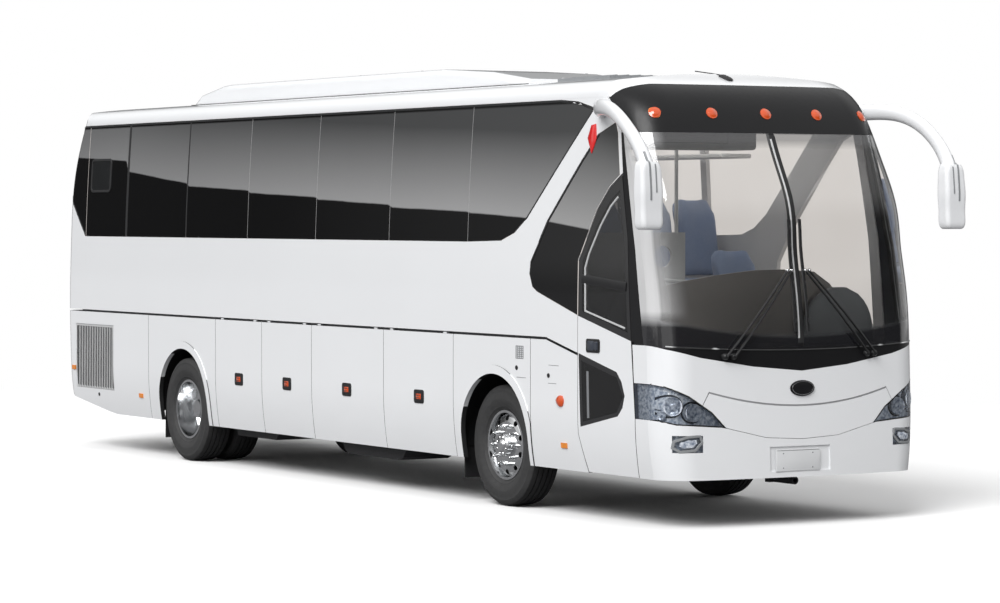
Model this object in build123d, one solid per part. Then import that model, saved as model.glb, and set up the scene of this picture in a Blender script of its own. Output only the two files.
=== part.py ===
from build123d import *
import math
import os

# A twelve metre coach bus with a hollow cabin, through luggage bays, a swinging entrance
# door, flaps, an engine lid and steered front wheels.
# Millimetres. +X is forward, +Y is the driver's side, +Z is up, and the tyres stand on Z = 0.
# X = 0 lies halfway along the bus, mirrors included.

# Wheels and axles
FRONT_AXLE_X = 3180.0
REAR_AXLE_X = -3020.0
TYRE_RADIUS = 522.0
TYRE_WIDTH = 295.0
TREAD_WIDTH = 236.0
RIM_RADIUS = 285.0
RIM_LIP_RADIUS = 298.0
RIM_WIDTH = 210.0
RIM_WALL = 9.0
FRONT_WHEEL_Y = 1045.0
DUAL_OUTER_Y = 1090.0
DUAL_INNER_Y = 750.0
KINGPIN_Y = 880.0
KINGPIN_RADIUS = 22.0
SPINDLE_RADIUS = 35.0
REAR_SPINDLE_RADIUS = 50.0
RUNNING_FIT = 0.4
HAND_HOLES = 10

# Nose sections: height, front face at the middle, radius of the corners
NOSE_SECTIONS = (
    (300.0, 5920.0, 300.0),
    (600.0, 5910.0, 300.0),
    (900.0, 5900.0, 300.0),
    (1180.0, 5891.0, 300.0),
    (1466.0, 5880.0, 300.0),
    (2250.0, 5774.0, 300.0),
    (2800.0, 5629.0, 300.0),
    (3146.0, 5454.0, 310.0),
    (3440.0, 5275.0, 380.0),
    (3580.0, 5030.0, 430.0),
    (3720.0, 4700.0, 430.0),
)
# Tail sections: height, rear face at the middle, radius of the corners
TAIL_SECTIONS = (
    (300.0, 6015.0, 260.0),
    (600.0, 6043.0, 260.0),
    (900.0, 6066.0, 260.0),
    (1180.0, 6082.0, 260.0),
    (1466.0, 6092.0, 260.0),
    (2250.0, 6080.0, 260.0),
    (2800.0, 6053.0, 260.0),
    (3146.0, 5960.0, 260.0),
    (3440.0, 5840.0, 280.0),
    (3720.0, 5600.0, 320.0),
)
NOSE_RADIUS = 9000.0
TAIL_RADIUS = 14000.0
NOSE_JOIN = 4400.0
NOSE_BACK = 4000.0
TAIL_JOIN = -5450.0
TAIL_BACK = 5000.0
TAIL_CORNER = -5790.0

# Cross section: tuck-in below, upright belt, gentle lean above, round edge and crown
HALF_WIDTH = 1275.0
TUCK_TOP = 900.0
TUCK_RADIUS = 3105.0
BELT_TOP = 1474.0
LEAN_RADIUS = 24197.0
EDGE_RADIUS = 145.0
CROWN_TOP = 3650.0
CROWN_RADIUS = 8620.0
END_SPARE = 3.0

# Wall thicknesses and gaps
WALL = 48.0
PANEL = 36.0
DOOR_WALL = 30.0
END_WALL = 40.0
END_GLASS = 8.0
GLASS = 7.5
GLASS_RECESS = 8.0
SEAT_GAP = 0.5
PANEL_GAP = 6.0

# Heights along the side
SKIRT_BOTTOM = 385.0
FLAP_TOP = 1452.0
HINGE_Z = 1459.0
WAIST = 1474.0
BAND_BOTTOM = 2255.0
BAND_TOP = 3432.0
ROOF_EDGE = 3440.0
HINGE_PIN_RADIUS = 4.0
HINGE_EYE_RADIUS = 7.5
HINGE_Y = 1265.0
HINGE_FIT = 0.5

# Floors
CABIN_FLOOR = 1440.0
CABIN_FLOOR_THICK = 40.0
DECK = 1000.0
BAY_FLOOR = 440.0
BAY_FLOOR_THICK = 15.0
RAIL_TOP = 900.0
RAIL_BOTTOM = 700.0
RAIL_Y = 430.0
RAIL_WIDTH = 70.0

# Wheel arches
ARCH_RADIUS = 560.0
ARCH_Z = 575.0
FLANGE_WIDTH = 75.0
FLANGE_PROUD = 8.0
FRONT_ARCH_X = 3175.0
REAR_ARCH_X = -3023.0

# Panel joints along the side, rear to front
REAR_QUARTER_END = -3832.0
REAR_ARCH_END = -2250.0
FLAP_JOINTS = (-2250.0, -1228.0, -185.0, 1224.0, 2490.0)
FRONT_ARCH_END = 3790.0
SIDE_ZONE_Y = 1100.0


def half_width(height):
    """Half width of the body at a height, from its cross section."""
    if height < TUCK_TOP:
        return HALF_WIDTH - TUCK_RADIUS + math.sqrt(TUCK_RADIUS**2 - (TUCK_TOP - height) ** 2)
    if height > BELT_TOP:
        return HALF_WIDTH - LEAN_RADIUS + math.sqrt(LEAN_RADIUS**2 - (height - BELT_TOP) ** 2)
    return HALF_WIDTH


def roof_edge_points(inset):
    """Start, middle and end of the roof edge's arc."""
    lean = (HALF_WIDTH - LEAN_RADIUS, BELT_TOP)
    crown = (0.0, CROWN_TOP - CROWN_RADIUS)
    span = math.dist(lean, crown)
    near = LEAN_RADIUS - EDGE_RADIUS
    far = CROWN_RADIUS - EDGE_RADIUS
    along = (near**2 - far**2 + span**2) / (2 * span)
    across = math.sqrt(near**2 - along**2)
    unit = ((crown[0] - lean[0]) / span, (crown[1] - lean[1]) / span)
    centre = (lean[0] + unit[0] * along - unit[1] * across, lean[1] + unit[1] * along + unit[0] * across)
    radius = EDGE_RADIUS - inset
    first = math.atan2(centre[1] - lean[1], centre[0] - lean[0])
    last = math.atan2(centre[1] - crown[1], centre[0] - crown[0])
    return [
        (centre[0] + radius * math.cos(turn), centre[1] + radius * math.sin(turn))
        for turn in (first, (first + last) / 2, last)
    ]


def cross_section(inset, x0, x1):
    """The body's cross section moved inwards by inset, as a bar along X."""
    side, bend, top = roof_edge_points(inset)
    low = 200.0
    tuck = HALF_WIDTH - TUCK_RADIUS + math.sqrt((TUCK_RADIUS - inset) ** 2 - (TUCK_TOP - low) ** 2)
    tuck_mid_z = (low + TUCK_TOP) / 2
    tuck_mid = HALF_WIDTH - TUCK_RADIUS + math.sqrt((TUCK_RADIUS - inset) ** 2 - (TUCK_TOP - tuck_mid_z) ** 2)
    lean_z = (BELT_TOP + side[1]) / 2
    lean_mid = HALF_WIDTH - LEAN_RADIUS + math.sqrt((LEAN_RADIUS - inset) ** 2 - (lean_z - BELT_TOP) ** 2)
    belt = HALF_WIDTH - inset

    def at(y, z):
        return (x0, y, z)

    edges = [Line(at(-tuck, low), at(tuck, low))]
    for way in (1, -1):
        edges += [
            ThreePointArc(at(way * tuck, low), at(way * tuck_mid, tuck_mid_z), at(way * belt, TUCK_TOP)),
            Line(at(way * belt, TUCK_TOP), at(way * belt, BELT_TOP)),
            ThreePointArc(at(way * belt, BELT_TOP), at(way * lean_mid, lean_z), at(way * side[0], side[1])),
            ThreePointArc(at(way * side[0], side[1]), at(way * bend[0], bend[1]), at(way * top[0], top[1])),
        ]
    crown_top = CROWN_TOP - inset
    edges.append(ThreePointArc(at(top[0], top[1]), at(0, crown_top), at(-top[0], top[1])))
    return Solid.extrude(Face(Wire(edges)), (x1 - x0, 0, 0))


def end_ring(section, inset, face_radius, closing, way):
    """Outline of one end at one height, from the closing plane out to its bowed face."""
    height, reach, corner = section
    half = half_width(height) - inset + END_SPARE
    face = face_radius - inset
    corner = corner - inset
    face_x = reach - inset - face
    corner_y = half - corner
    corner_x = face_x + math.sqrt((face - corner) ** 2 - corner_y**2)
    grow = face / (face - corner)
    touch = (face_x + (corner_x - face_x) * grow, corner_y * grow)
    turn = (math.atan2(touch[1], touch[0] - face_x) + math.pi / 2) / 2
    bend = (corner_x + corner * math.cos(turn), corner_y + corner * math.sin(turn))

    def at(x, y):
        return (x * way, y, height)

    return Wire([
        Line(at(closing, -half), at(corner_x, -half)),
        ThreePointArc(at(corner_x, -half), at(bend[0], -bend[1]), at(touch[0], -touch[1])),
        ThreePointArc(at(touch[0], -touch[1]), at(reach - inset, 0), at(*touch)),
        ThreePointArc(at(*touch), at(*bend), at(corner_x, half)),
        Line(at(corner_x, half), at(closing, half)),
        Line(at(closing, half), at(closing, -half)),
    ])


def nose(inset):
    """Front end of the body below its roof edge, its surface moved inwards by inset."""
    return Solid.make_loft(
        [end_ring(section, inset, NOSE_RADIUS, NOSE_BACK, 1) for section in NOSE_SECTIONS], False
    )


def tail(inset):
    """Rear end of the body below its roof edge, its surface moved inwards by inset."""
    return Solid.make_loft(
        [end_ring(section, inset, TAIL_RADIUS, TAIL_BACK, -1) for section in TAIL_SECTIONS], False
    )


def block(x0, x1, y0, y1, z0, z1):
    """Box between two corners."""
    box = Solid.make_box(x1 - x0, y1 - y0, z1 - z0)
    return box.moved(Location((x0, y0, z0)))


def side_block(outline, y0=-1500.0, y1=1500.0):
    """Outline of x and z points, pushed along Y."""
    wire = Wire.make_polygon([(x, y0, z) for x, z in outline])
    return Solid.extrude(Face(wire), (0, y1 - y0, 0))


def front_block(outline, x0, x1):
    """Outline of y and z points, pushed along X."""
    wire = Wire.make_polygon([(x0, y, z) for y, z in outline])
    return Solid.extrude(Face(wire), (x1 - x0, 0, 0))


def rod(start, end, radius):
    """Round bar between two points."""
    line = Vector(*end) - Vector(*start)
    plane = Plane(origin=start, z_dir=line)
    return Solid.make_cylinder(radius, line.length, plane)


def on_side(outline, side, y0=SIDE_ZONE_Y):
    """Side block on one side of the bus only: side is -1 right, 1 left."""
    if side > 0:
        return side_block(outline, y0, 1500.0)
    return side_block(outline, -1500.0, -y0)


def rectangle(x0, x1, z0, z1):
    """Corner points of an upright rectangle."""
    return ((x0, z0), (x1, z0), (x1, z1), (x0, z1))


def solids_of(*shapes):
    """All solids in the given shapes."""
    found = []
    for shape in shapes:
        if shape is not None:
            found += list(shape.solids())
    return found


def save(name, *shapes):
    """Write one named piece."""
    group = Compound(solids_of(*shapes))
    group.label = name
    export_step(group, f"parts/{name}.step")


BAR_ENDS = (-6400.0, 6400.0)
OUTER = cross_section(0.0, *BAR_ENDS)
INNER = cross_section(WALL, *BAR_ENDS)
PANEL_INNER = cross_section(PANEL, *BAR_ENDS)
DOOR_INNER = cross_section(DOOR_WALL, *BAR_ENDS)
GLASS_INNER = cross_section(GLASS, *BAR_ENDS)
RECESS = cross_section(GLASS_RECESS, *BAR_ENDS)
FLANGE_OUTER = cross_section(-FLANGE_PROUD, *BAR_ENDS)
LINED = cross_section(WALL + SEAT_GAP, *BAR_ENDS)
END_INNER = cross_section(END_WALL, *BAR_ENDS)
NOSE_OUTER = nose(0.0) & OUTER
NOSE_INNER = nose(END_WALL) & END_INNER
NOSE_GLASS = nose(END_GLASS)
NOSE_SEATED = nose(-SEAT_GAP)
TAIL_OUTER = tail(0.0) & OUTER
TAIL_INNER = tail(END_WALL) & END_INNER
TAIL_GLASS = tail(END_GLASS)
os.makedirs("parts", exist_ok=True)


def arch_hole(arch_x, radius):
    """Opening of a wheel arch, through both sides."""
    ring = rod((arch_x, -1500, ARCH_Z), (arch_x, 1500, ARCH_Z), radius)
    return ring + block(arch_x - radius, arch_x + radius, -1500, 1500, 100, ARCH_Z)


# Outlines seen from the side, as x and z points
BAND = (
    (TAIL_JOIN, BAND_BOTTOM), (TAIL_JOIN, BAND_TOP),
    (4150, BAND_TOP), (4684, 3359), (3693, 2451), (3500, 2330), (3290, BAND_BOTTOM + 12),
    (2720, BAND_BOTTOM),
)
PANE_JOINTS = (-4412.0, -2956.0, -1562.0, -127.0, 1306.0, 2720.0)
SCREEN_TOP = 3146.0
CAP_TOP = 3545.0
CAP_BOTTOM = SCREEN_TOP + SEAT_GAP
CAP_EDGE = ((5122, CAP_BOTTOM), (5080, 3250), (5000, 3340), (4900, 3425), (4990, 3500), (5060, CAP_TOP))
REAR_SLOPE = ((-4709, SKIRT_BOTTOM), (-4900, 405), (-6150, 553))
WAIST_KINK = (4040, 4533)
KINK_DROP = 114.0
FRONT_EDGE = ((5360.0, 1475.0), (5406.0, 865.0))


def front_edge(height, gap=0.0):
    """X of the joint between the side panels and the front panel, less a gap."""
    (high_x, high_z), (low_x, low_z) = FRONT_EDGE
    share = min((high_z - height) / (high_z - low_z), 1.0)
    return high_x + (low_x - high_x) * share - gap


# The fixed lower panels of each side
def lower_panel(outline, side):
    """One fixed panel below the waist."""
    return (on_side(outline, side) & OUTER) - PANEL_INNER


def arch_panel(x0, x1, arch_x, side):
    """Panel over a wheel, with the arch cut out and a raised flange around it."""
    outline = rectangle(x0, x1, SKIRT_BOTTOM, FLAP_TOP)
    flange = (on_side(outline, side) & arch_hole(arch_x, ARCH_RADIUS + FLANGE_WIDTH)) & FLANGE_OUTER
    panel = lower_panel(outline, side) + (flange - PANEL_INNER)
    return panel - arch_hole(arch_x, ARCH_RADIUS)


GAP = PANEL_GAP / 2
SIDES = (("right", -1), ("left", 1))
REAR_QUARTER = (
    REAR_SLOPE[0], (REAR_QUARTER_END - GAP, SKIRT_BOTTOM), (REAR_QUARTER_END - GAP, FLAP_TOP),
    (TAIL_CORNER, FLAP_TOP), (TAIL_CORNER, 530), REAR_SLOPE[1],
)
GRILLE = rectangle(-5700, -4711, 635, 1320)
for name, side in SIDES:
    quarter = lower_panel(REAR_QUARTER, side) - on_side(GRILLE, side)
    rear_arch = arch_panel(REAR_QUARTER_END + GAP, REAR_ARCH_END - GAP, REAR_ARCH_X, side)
    front_arch = arch_panel(FLAP_JOINTS[4] + GAP, FRONT_ARCH_END - GAP, FRONT_ARCH_X, side)
    kink_low = FLAP_TOP - KINK_DROP
    door_side = ((4644, SKIRT_BOTTOM), (4535, 700), (4535, kink_low))
    cab_side = (
        (front_edge(SKIRT_BOTTOM, PANEL_GAP), SKIRT_BOTTOM), (front_edge(865, PANEL_GAP), 865),
        (front_edge(kink_low, PANEL_GAP), kink_low),
    )
    corner = lower_panel((
        (FRONT_ARCH_END + GAP, SKIRT_BOTTOM), *(door_side if side < 0 else cab_side),
        (WAIST_KINK[1], kink_low), (WAIST_KINK[0], FLAP_TOP), (FRONT_ARCH_END + GAP, FLAP_TOP),
    ), side)
    save(f"skirts_{name}", quarter, rear_arch, front_arch, corner)

# Slatted grilles in the rear quarters: a frame with upright slats
SLAT_PITCH = 44.0
SLAT_WIDTH = 20.0
GRILLE_FRAME = 24.0
grilles = []
for name, side in SIDES:
    zone = on_side(rectangle(-5699.5, -4711.5, 635.5, 1319.5), side)
    hole = on_side(
        rectangle(-5700 + GRILLE_FRAME, -4711 - GRILLE_FRAME, 635 + GRILLE_FRAME, 1320 - GRILLE_FRAME), side
    )
    frame = ((zone - hole) & cross_section(6.0, *BAR_ENDS)) - DOOR_INNER
    count = int((989 - 2 * GRILLE_FRAME) / SLAT_PITCH)
    bars = []
    for number in range(1, count + 1):
        x = -5700 + GRILLE_FRAME + number * SLAT_PITCH - SLAT_WIDTH / 2
        slat = block(x, x + SLAT_WIDTH, 1248, 1266, 640, 1315)
        bars.append(slat if side > 0 else slat.mirror(Plane.XZ))
    for bar in bars:
        frame = frame + bar
    grilles.append(frame)
save("side_grilles", *grilles)

# Luggage doors, four a side, each hung on two hinge pins at the waist
HINGE_INSET = 150.0
HINGE_LENGTH = 60.0
LUG_LENGTH = 24.0


def hinge_places(index):
    """Where the two hinges of a luggage door stand along X."""
    return (FLAP_JOINTS[index] + HINGE_INSET, FLAP_JOINTS[index + 1] - HINGE_INSET)


for name, side in SIDES:
    for index in range(4):
        x0 = FLAP_JOINTS[index] + GAP
        x1 = FLAP_JOINTS[index + 1] - GAP
        zone = on_side(rectangle(x0, x1, SKIRT_BOTTOM, FLAP_TOP), side)
        leaf = (zone & OUTER) - DOOR_INNER
        for x in hinge_places(index):
            y = HINGE_Y * side
            half = HINGE_LENGTH / 2
            eye = rod((x - half, y, HINGE_Z), (x + half, y, HINGE_Z), HINGE_EYE_RADIUS)
            neck = block(x - half, x + half, y - 5, y + 5, FLAP_TOP - 4, HINGE_Z)
            bore = rod((x - half, y, HINGE_Z), (x + half, y, HINGE_Z), HINGE_PIN_RADIUS + HINGE_FIT)
            leaf = leaf + eye + neck - bore
        save(f"luggage_door_{name}_{index + 1}", leaf)

# Cabin floor with its waist rails and the hinge lugs
floor = block(-5740, 3750, -1300, 1300, CABIN_FLOOR - CABIN_FLOOR_THICK, CABIN_FLOOR)
floor = floor + block(3750, 4480, -1300, -150, CABIN_FLOOR - CABIN_FLOOR_THICK, CABIN_FLOOR)
floor = floor & LINED
RAIL_OUTER = 1275.0 - PANEL - SEAT_GAP
for name, side in SIDES:
    inner, outer = sorted((side * (RAIL_OUTER - 80), side * RAIL_OUTER))
    floor = floor + block(-5600, 4030, inner, outer, CABIN_FLOOR - CABIN_FLOOR_THICK, WAIST - SEAT_GAP)
    for index in range(4):
        for x in hinge_places(index):
            y = HINGE_Y * side
            reach = HINGE_LENGTH / 2 + 1.0 + LUG_LENGTH
            pin = rod((x - reach, y, HINGE_Z), (x + reach, y, HINGE_Z), HINGE_PIN_RADIUS)
            low, high = sorted((side * (RAIL_OUTER - 20), y))
            for start in (x - reach, x + HINGE_LENGTH / 2 + 1.0):
                lug = block(start, start + LUG_LENGTH, low, high, HINGE_Z - 4, HINGE_Z + 4)
                floor = floor + lug
            floor = floor + pin
save("cabin_floor", floor)

# Lower deck for the driver, with the entrance stairs
STAIR_REAR = 4500.0
STAIR_FRONT = 5330.0
STEP = 25.0
STAIR_WALL = 25.0
stair = front_block((
    (-1300, 400), (-850, 400), (-850, 615), (-500, 615), (-500, 830), (-150, 830), (-150, 960),
    (-150, DECK), (-175, DECK), (-175, 855), (-525, 855), (-525, 640), (-875, 640), (-875, 425),
    (-1300, 425),
), STAIR_REAR - STAIR_WALL, STAIR_FRONT)
stair = (stair & cross_section(PANEL + 6, *BAR_ENDS)) + block(
    STAIR_REAR - STAIR_WALL, STAIR_REAR, -1180, -150, 400, CABIN_FLOOR - CABIN_FLOOR_THICK - SEAT_GAP
)
stair = stair + block(STAIR_FRONT - 12, STAIR_FRONT + 13, -1180, -150, 400, DECK)
deck = block(3751, 5450, -175, 1300, DECK - 40, DECK) & LINED
riser = block(3751, 3776, -150, RAIL_OUTER - 80 - SEAT_GAP, DECK - 40, CABIN_FLOOR)
front_deck = block(STAIR_FRONT, 5450, -1300, -150, DECK - 40, DECK) & LINED
aisle_step = block(3776, 4150, -150, 420, DECK, 1220)
POST_X = 5120.0
POST_Y = -1150.0
POST_RADIUS = 22.0
POST_PIN = 10.0
post_seat = rod((POST_X, POST_Y, 424), (POST_X, POST_Y, 434), POST_RADIUS)
post_pin = rod((POST_X, POST_Y, 424), (POST_X, POST_Y, 470), POST_PIN)
save("front_floor", stair + deck + riser + front_deck + aisle_step + post_seat + post_pin)

# Luggage bays: a floor plate that carries three cross walls and the seal posts
BAY_REAR = FLAP_JOINTS[0] - 30
BAY_FRONT = FLAP_JOINTS[4] + 30
BAY_HALF = 1190.0
BULKHEAD = 20.0
POST_HALF = 20.0
bay_low = BAY_FLOOR + SEAT_GAP
bay_high = CABIN_FLOOR - CABIN_FLOOR_THICK
bays = []
for x in (BAY_REAR, FLAP_JOINTS[2] - BULKHEAD / 2, BAY_FRONT - BULKHEAD):
    bays.append(block(x, x + BULKHEAD, -BAY_HALF, BAY_HALF, bay_low, bay_high))
for x in (FLAP_JOINTS[1], FLAP_JOINTS[3]):
    for side in (-1, 1):
        low, high = sorted((side * (BAY_HALF - 2 * POST_HALF), side * BAY_HALF))
        bays.append(block(x - POST_HALF, x + POST_HALF, low, high, bay_low, bay_high))
# The plate is let in under each of them, which leaves an open flat floor between
LET_IN = 0.3
FOOT_MARGIN = 1.0
bay_plate = block(BAY_REAR, BAY_FRONT, -BAY_HALF, BAY_HALF, BAY_FLOOR - BAY_FLOOR_THICK, BAY_FLOOR)
for upright in bays:
    foot = upright.bounding_box()
    bay_plate = bay_plate - block(
        foot.min.X - FOOT_MARGIN, foot.max.X + FOOT_MARGIN,
        foot.min.Y - FOOT_MARGIN, foot.max.Y + FOOT_MARGIN,
        BAY_FLOOR - LET_IN, BAY_FLOOR + FOOT_MARGIN,
    )
save("luggage_bays", bay_plate, *bays)

# Chassis: front and rear rails, joined by tubes under the luggage floor
FRONT_RAIL = (BAY_FRONT + 10, 5550.0)
REAR_RAIL = (-5950.0, BAY_REAR - 10)
GRID_TOP = BAY_FLOOR - BAY_FLOOR_THICK
frame_bars = []
for side in (-1, 1):
    low, high = sorted((side * RAIL_Y, side * (RAIL_Y + RAIL_WIDTH)))
    for start, end in (FRONT_RAIL, REAR_RAIL):
        frame_bars.append(block(start, end, low, high, RAIL_BOTTOM, RAIL_TOP))
    frame_bars.append(block(REAR_RAIL[1] - 70, FRONT_RAIL[0] + 70, low, high, SKIRT_BOTTOM, GRID_TOP))
    for start in (REAR_RAIL[1] - 70, FRONT_RAIL[0]):
        frame_bars.append(block(start, start + 70, low, high, SKIRT_BOTTOM, RAIL_TOP))
    frame_bars.append(block(BAY_REAR, BAY_FRONT, *sorted((side * 1080, side * 1140)), SKIRT_BOTTOM, GRID_TOP))
    for x in (-5800, -4300, -3700, -2400, 2620, 3600):
        top = CABIN_FLOOR - CABIN_FLOOR_THICK
        frame_bars.append(block(x, x + 60, *sorted((side * RAIL_Y, side * (RAIL_Y + 60))), RAIL_TOP, top))
    for x in (3800, 5000):
        frame_bars.append(block(x, x + 60, *sorted((side * RAIL_Y, side * (RAIL_Y + 60))), RAIL_TOP, DECK - 40))
for x in (-5950, -4200, -2500, 2600, 3700, 4440, 5450):
    frame_bars.append(block(x, x + 60, -RAIL_Y, RAIL_Y, RAIL_BOTTOM, RAIL_TOP - 60))
for x in (-2200, -1228, -185, 1224, 2430):
    frame_bars.append(block(x - 30, x + 30, -1140, 1140, SKIRT_BOTTOM, GRID_TOP))
# Towing points: a socket for a pin under the nose and a drilled plate under the tail
TOW_Z = 350.0
TOW_BORE = 20.0
TOW_WALL = 12.0
TOW_MOUTH_X = 5800.0
TOW_DEPTH = 140.0
PLATE_X = -5960.0
PLATE_THICK = 16.0
PLATE_HOLE_Y = 75.0
PLATE_HOLE_Z = 40.0
PLATE_Z = 480.0
PLATE_HOLE = 8.5
frame_bars.append(block(5450, 5510, -50, 50, TOW_Z - 32, RAIL_TOP - 60))
frame_bars.append(rod((5500, 0, TOW_Z), (TOW_MOUTH_X, 0, TOW_Z), TOW_BORE + TOW_WALL))
frame_bars.append(block(PLATE_X, PLATE_X + PLATE_THICK, -120, 120, PLATE_Z - 75, RAIL_BOTTOM + 60))
chassis = frame_bars[0].fuse(*frame_bars[1:])
# Bolted seams part it into the nose, luggage and tail modules
MODULE_SEAM = 5.0
for x in (REAR_RAIL[1] + MODULE_SEAM, FRONT_RAIL[0] - MODULE_SEAM):
    chassis = chassis - block(x - SEAT_GAP / 2, x + SEAT_GAP / 2, -1500, 1500, 200, 1500)
chassis = chassis - rod((TOW_MOUTH_X - TOW_DEPTH, 0, TOW_Z), (TOW_MOUTH_X + 5, 0, TOW_Z), TOW_BORE)
for y in (-PLATE_HOLE_Y, PLATE_HOLE_Y):
    for z in (PLATE_Z - PLATE_HOLE_Z, PLATE_Z + PLATE_HOLE_Z):
        chassis = chassis - rod((PLATE_X - 5, y, z), (PLATE_X + PLATE_THICK + 5, y, z), PLATE_HOLE)
chassis = chassis - block(STAIR_REAR - 27, STAIR_FRONT + 15, -1300, -140, 395, DECK + 5)
save("chassis_frame", chassis)

# Roof over the whole length, with the hatch opening
HATCH = (2750.0, 3550.0, -330.0, 330.0)
cap_zone = side_block(CAP_EDGE + ((6300, CAP_TOP), (6300, CAP_BOTTOM)))
HALF_SEAT = SEAT_GAP / 2
roof_low = ROOF_EDGE + SEAT_GAP
roof_gap = side_block(((4893, 3425), (4983, 3505), (5058, CAP_TOP + 0.5), (6300, CAP_TOP + 0.5),
                       (6300, 3000), (4893, 3000)))
roof = (block(TAIL_JOIN + HALF_SEAT, NOSE_JOIN - HALF_SEAT, -1500, 1500, roof_low, 3800) & OUTER) - INNER
roof = roof - block(*HATCH, 3500, 3800)
HATCH_HINGE_X = HATCH[0] - 45.0
HATCH_HINGE_Z = CROWN_TOP + 24.0
HATCH_HINGE_Y = 240.0
HATCH_PIN = 5.0
for side in (-1, 1):
    y = HATCH_HINGE_Y * side
    roof = roof + rod((HATCH_HINGE_X, y - 50, HATCH_HINGE_Z), (HATCH_HINGE_X, y + 50, HATCH_HINGE_Z), HATCH_PIN)
    for start in (y - 50, y + 30):
        lug = block(HATCH_HINGE_X - 12, HATCH_HINGE_X + 12, start, start + 20, CROWN_TOP - 30, HATCH_HINGE_Z + 12)
        roof = roof + lug
roof_front = (block(NOSE_JOIN + HALF_SEAT, 6300, -1500, 1500, roof_low, 3800) & NOSE_OUTER) - NOSE_INNER
roof_rear = (block(-6300, TAIL_JOIN - HALF_SEAT, -1500, 1500, roof_low, 3800) & TAIL_OUTER) - TAIL_INNER
save("roof_shell", roof, roof_front - roof_gap, roof_rear)
CAP_LAMPS = (-1023.0, -518.0, 0.0, 518.0, 1023.0)
CAP_LAMP_Z = 3305.0
CAP_LAMP_RADIUS = 42.0
cap = (cap_zone & NOSE_OUTER) - NOSE_INNER
for y in CAP_LAMPS:
    cap = cap - rod((4900, y, CAP_LAMP_Z), (5600, y, CAP_LAMP_Z), CAP_LAMP_RADIUS + SEAT_GAP)
save("front_cap", cap)

# Upper side walls with their window openings
PILLAR = 45.0


def pane_outlines():
    """Window panes from rear to front, each as x and z points."""
    low = BAND[0][1]
    panes = [((TAIL_JOIN, low), (PANE_JOINTS[0], low), (PANE_JOINTS[0], BAND_TOP), (TAIL_JOIN, BAND_TOP))]
    for start, end in zip(PANE_JOINTS[:-1], PANE_JOINTS[1:]):
        panes.append(((start, low), (end, low), (end, BAND_TOP), (start, BAND_TOP)))
    panes.append(((PANE_JOINTS[5], low), (3290, low + 12), (3500, 2330), (3693, 2451),
                  (4684, 3359), (4150, BAND_TOP), (PANE_JOINTS[5], BAND_TOP)))
    return panes


def inset_polygon(points, distance):
    """Outline moved inwards on every edge."""
    wire = Wire.make_polygon([(x, 0, z) for x, z in points])
    face = Face(wire)
    moved = face.outer_wire().offset_2d(-distance)
    return Face(moved)


def side_prism(face, side):
    """Face in the x and z plane, pushed out through one side."""
    return Solid.extrude(face.moved(Location((0, side * 1000.0, 0))), (0, side * 500.0, 0))


WALL_TOP = ROOF_EDGE
WALL_FRONT = ((5350, 1475), (5275, 2300), (5160, 2824), (5104, SCREEN_TOP))
WALL_RIGHT = (
    (TAIL_JOIN + 0.25, WAIST), (4040, WAIST), (4533, WAIST - KINK_DROP), (4533, 2112), (4590, 2212),
    (4672, 2333), (4797, 2533), (4974, 2712), *WALL_FRONT[2:], (5070, 3244),
    (4992, 3333), (4880, 3425), (4880, WALL_TOP), (TAIL_JOIN + 0.25, WALL_TOP),
)
WALL_LEFT = (
    (TAIL_JOIN + 0.25, WAIST), (4040, WAIST), (4533, WAIST - KINK_DROP), (5350, WAIST - KINK_DROP),
    *WALL_FRONT, (5070, 3244),
    (4992, 3333), (4880, 3425), (4880, WALL_TOP), (TAIL_JOIN + 0.25, WALL_TOP),
)
CAB_RIGHT = (
    (5018, 3235), (4775, 3149), (4542, 2939), (4040, 2443), (3775, 2096), (3762, 1992),
    (3814, 1884), (3891, 1845), (4533, 1665), (4533, 2118), (4672, 2335), (4797, 2535),
    (4974, 2714), (5120, 2806), (5060, 3146),
)
CAB_LEFT = (
    (5018, 3235), (4775, 3149), (4542, 2939), (4040, 2443), (3775, 2096), (3762, 1992),
    (3814, 1884), (3891, 1845), (4542, 1663), (5250, 1500), (5190, 2300), (5070, 3000),
)
wall_data = (("right", -1, WALL_RIGHT, CAB_RIGHT), ("left", 1, WALL_LEFT, CAB_LEFT))
side_panes = []
cab_panes = []
for name, side, outline, cab in wall_data:
    wall = (on_side(outline, side) & OUTER) - INNER
    shallow = on_side(BAND, side) - RECESS
    wall = wall - shallow - (on_side(cab, side) - RECESS)
    for points in pane_outlines():
        wall = wall - side_prism(inset_polygon(points, PILLAR), side)
        pane = side_prism(inset_polygon(points, 3.0), side)
        side_panes.append((pane & OUTER) - GLASS_INNER)
    wall = wall - side_prism(inset_polygon(cab, PILLAR), side)
    cab_panes.append((side_prism(inset_polygon(cab, 3.0), side) & OUTER) - GLASS_INNER)
    if side < 0:
        bracket = block(POST_X - 30, POST_X + 30, -1190, POST_Y + 30, 2862, 2892)
        wall = wall + (bracket & cross_section(WALL - 4, *BAR_ENDS)) + rod((POST_X, POST_Y, 2830), (POST_X, POST_Y, 2870), POST_PIN)
    save(f"side_wall_{name}", wall)
save("cab_windows", *cab_panes)

# Windscreen frame with its pillars, the black cowl band and the two panes
SCREEN_LOW_FRONT = 1405.0
MULLION = 50.0
HOOD_TOP = (
    (0, 1238), (463, 1280), (943, 1358), (1200, 1425), (1300, 1462),
)
BUMPER_LINE = ((0, 693), (350, 712), (704, 794), (1000, 850), (1300, 880))


def both_sides(points):
    """Points from -y to +y, from a list that starts at the middle."""
    return tuple((-y, z) for y, z in reversed(points)) + tuple(points[1:])


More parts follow.
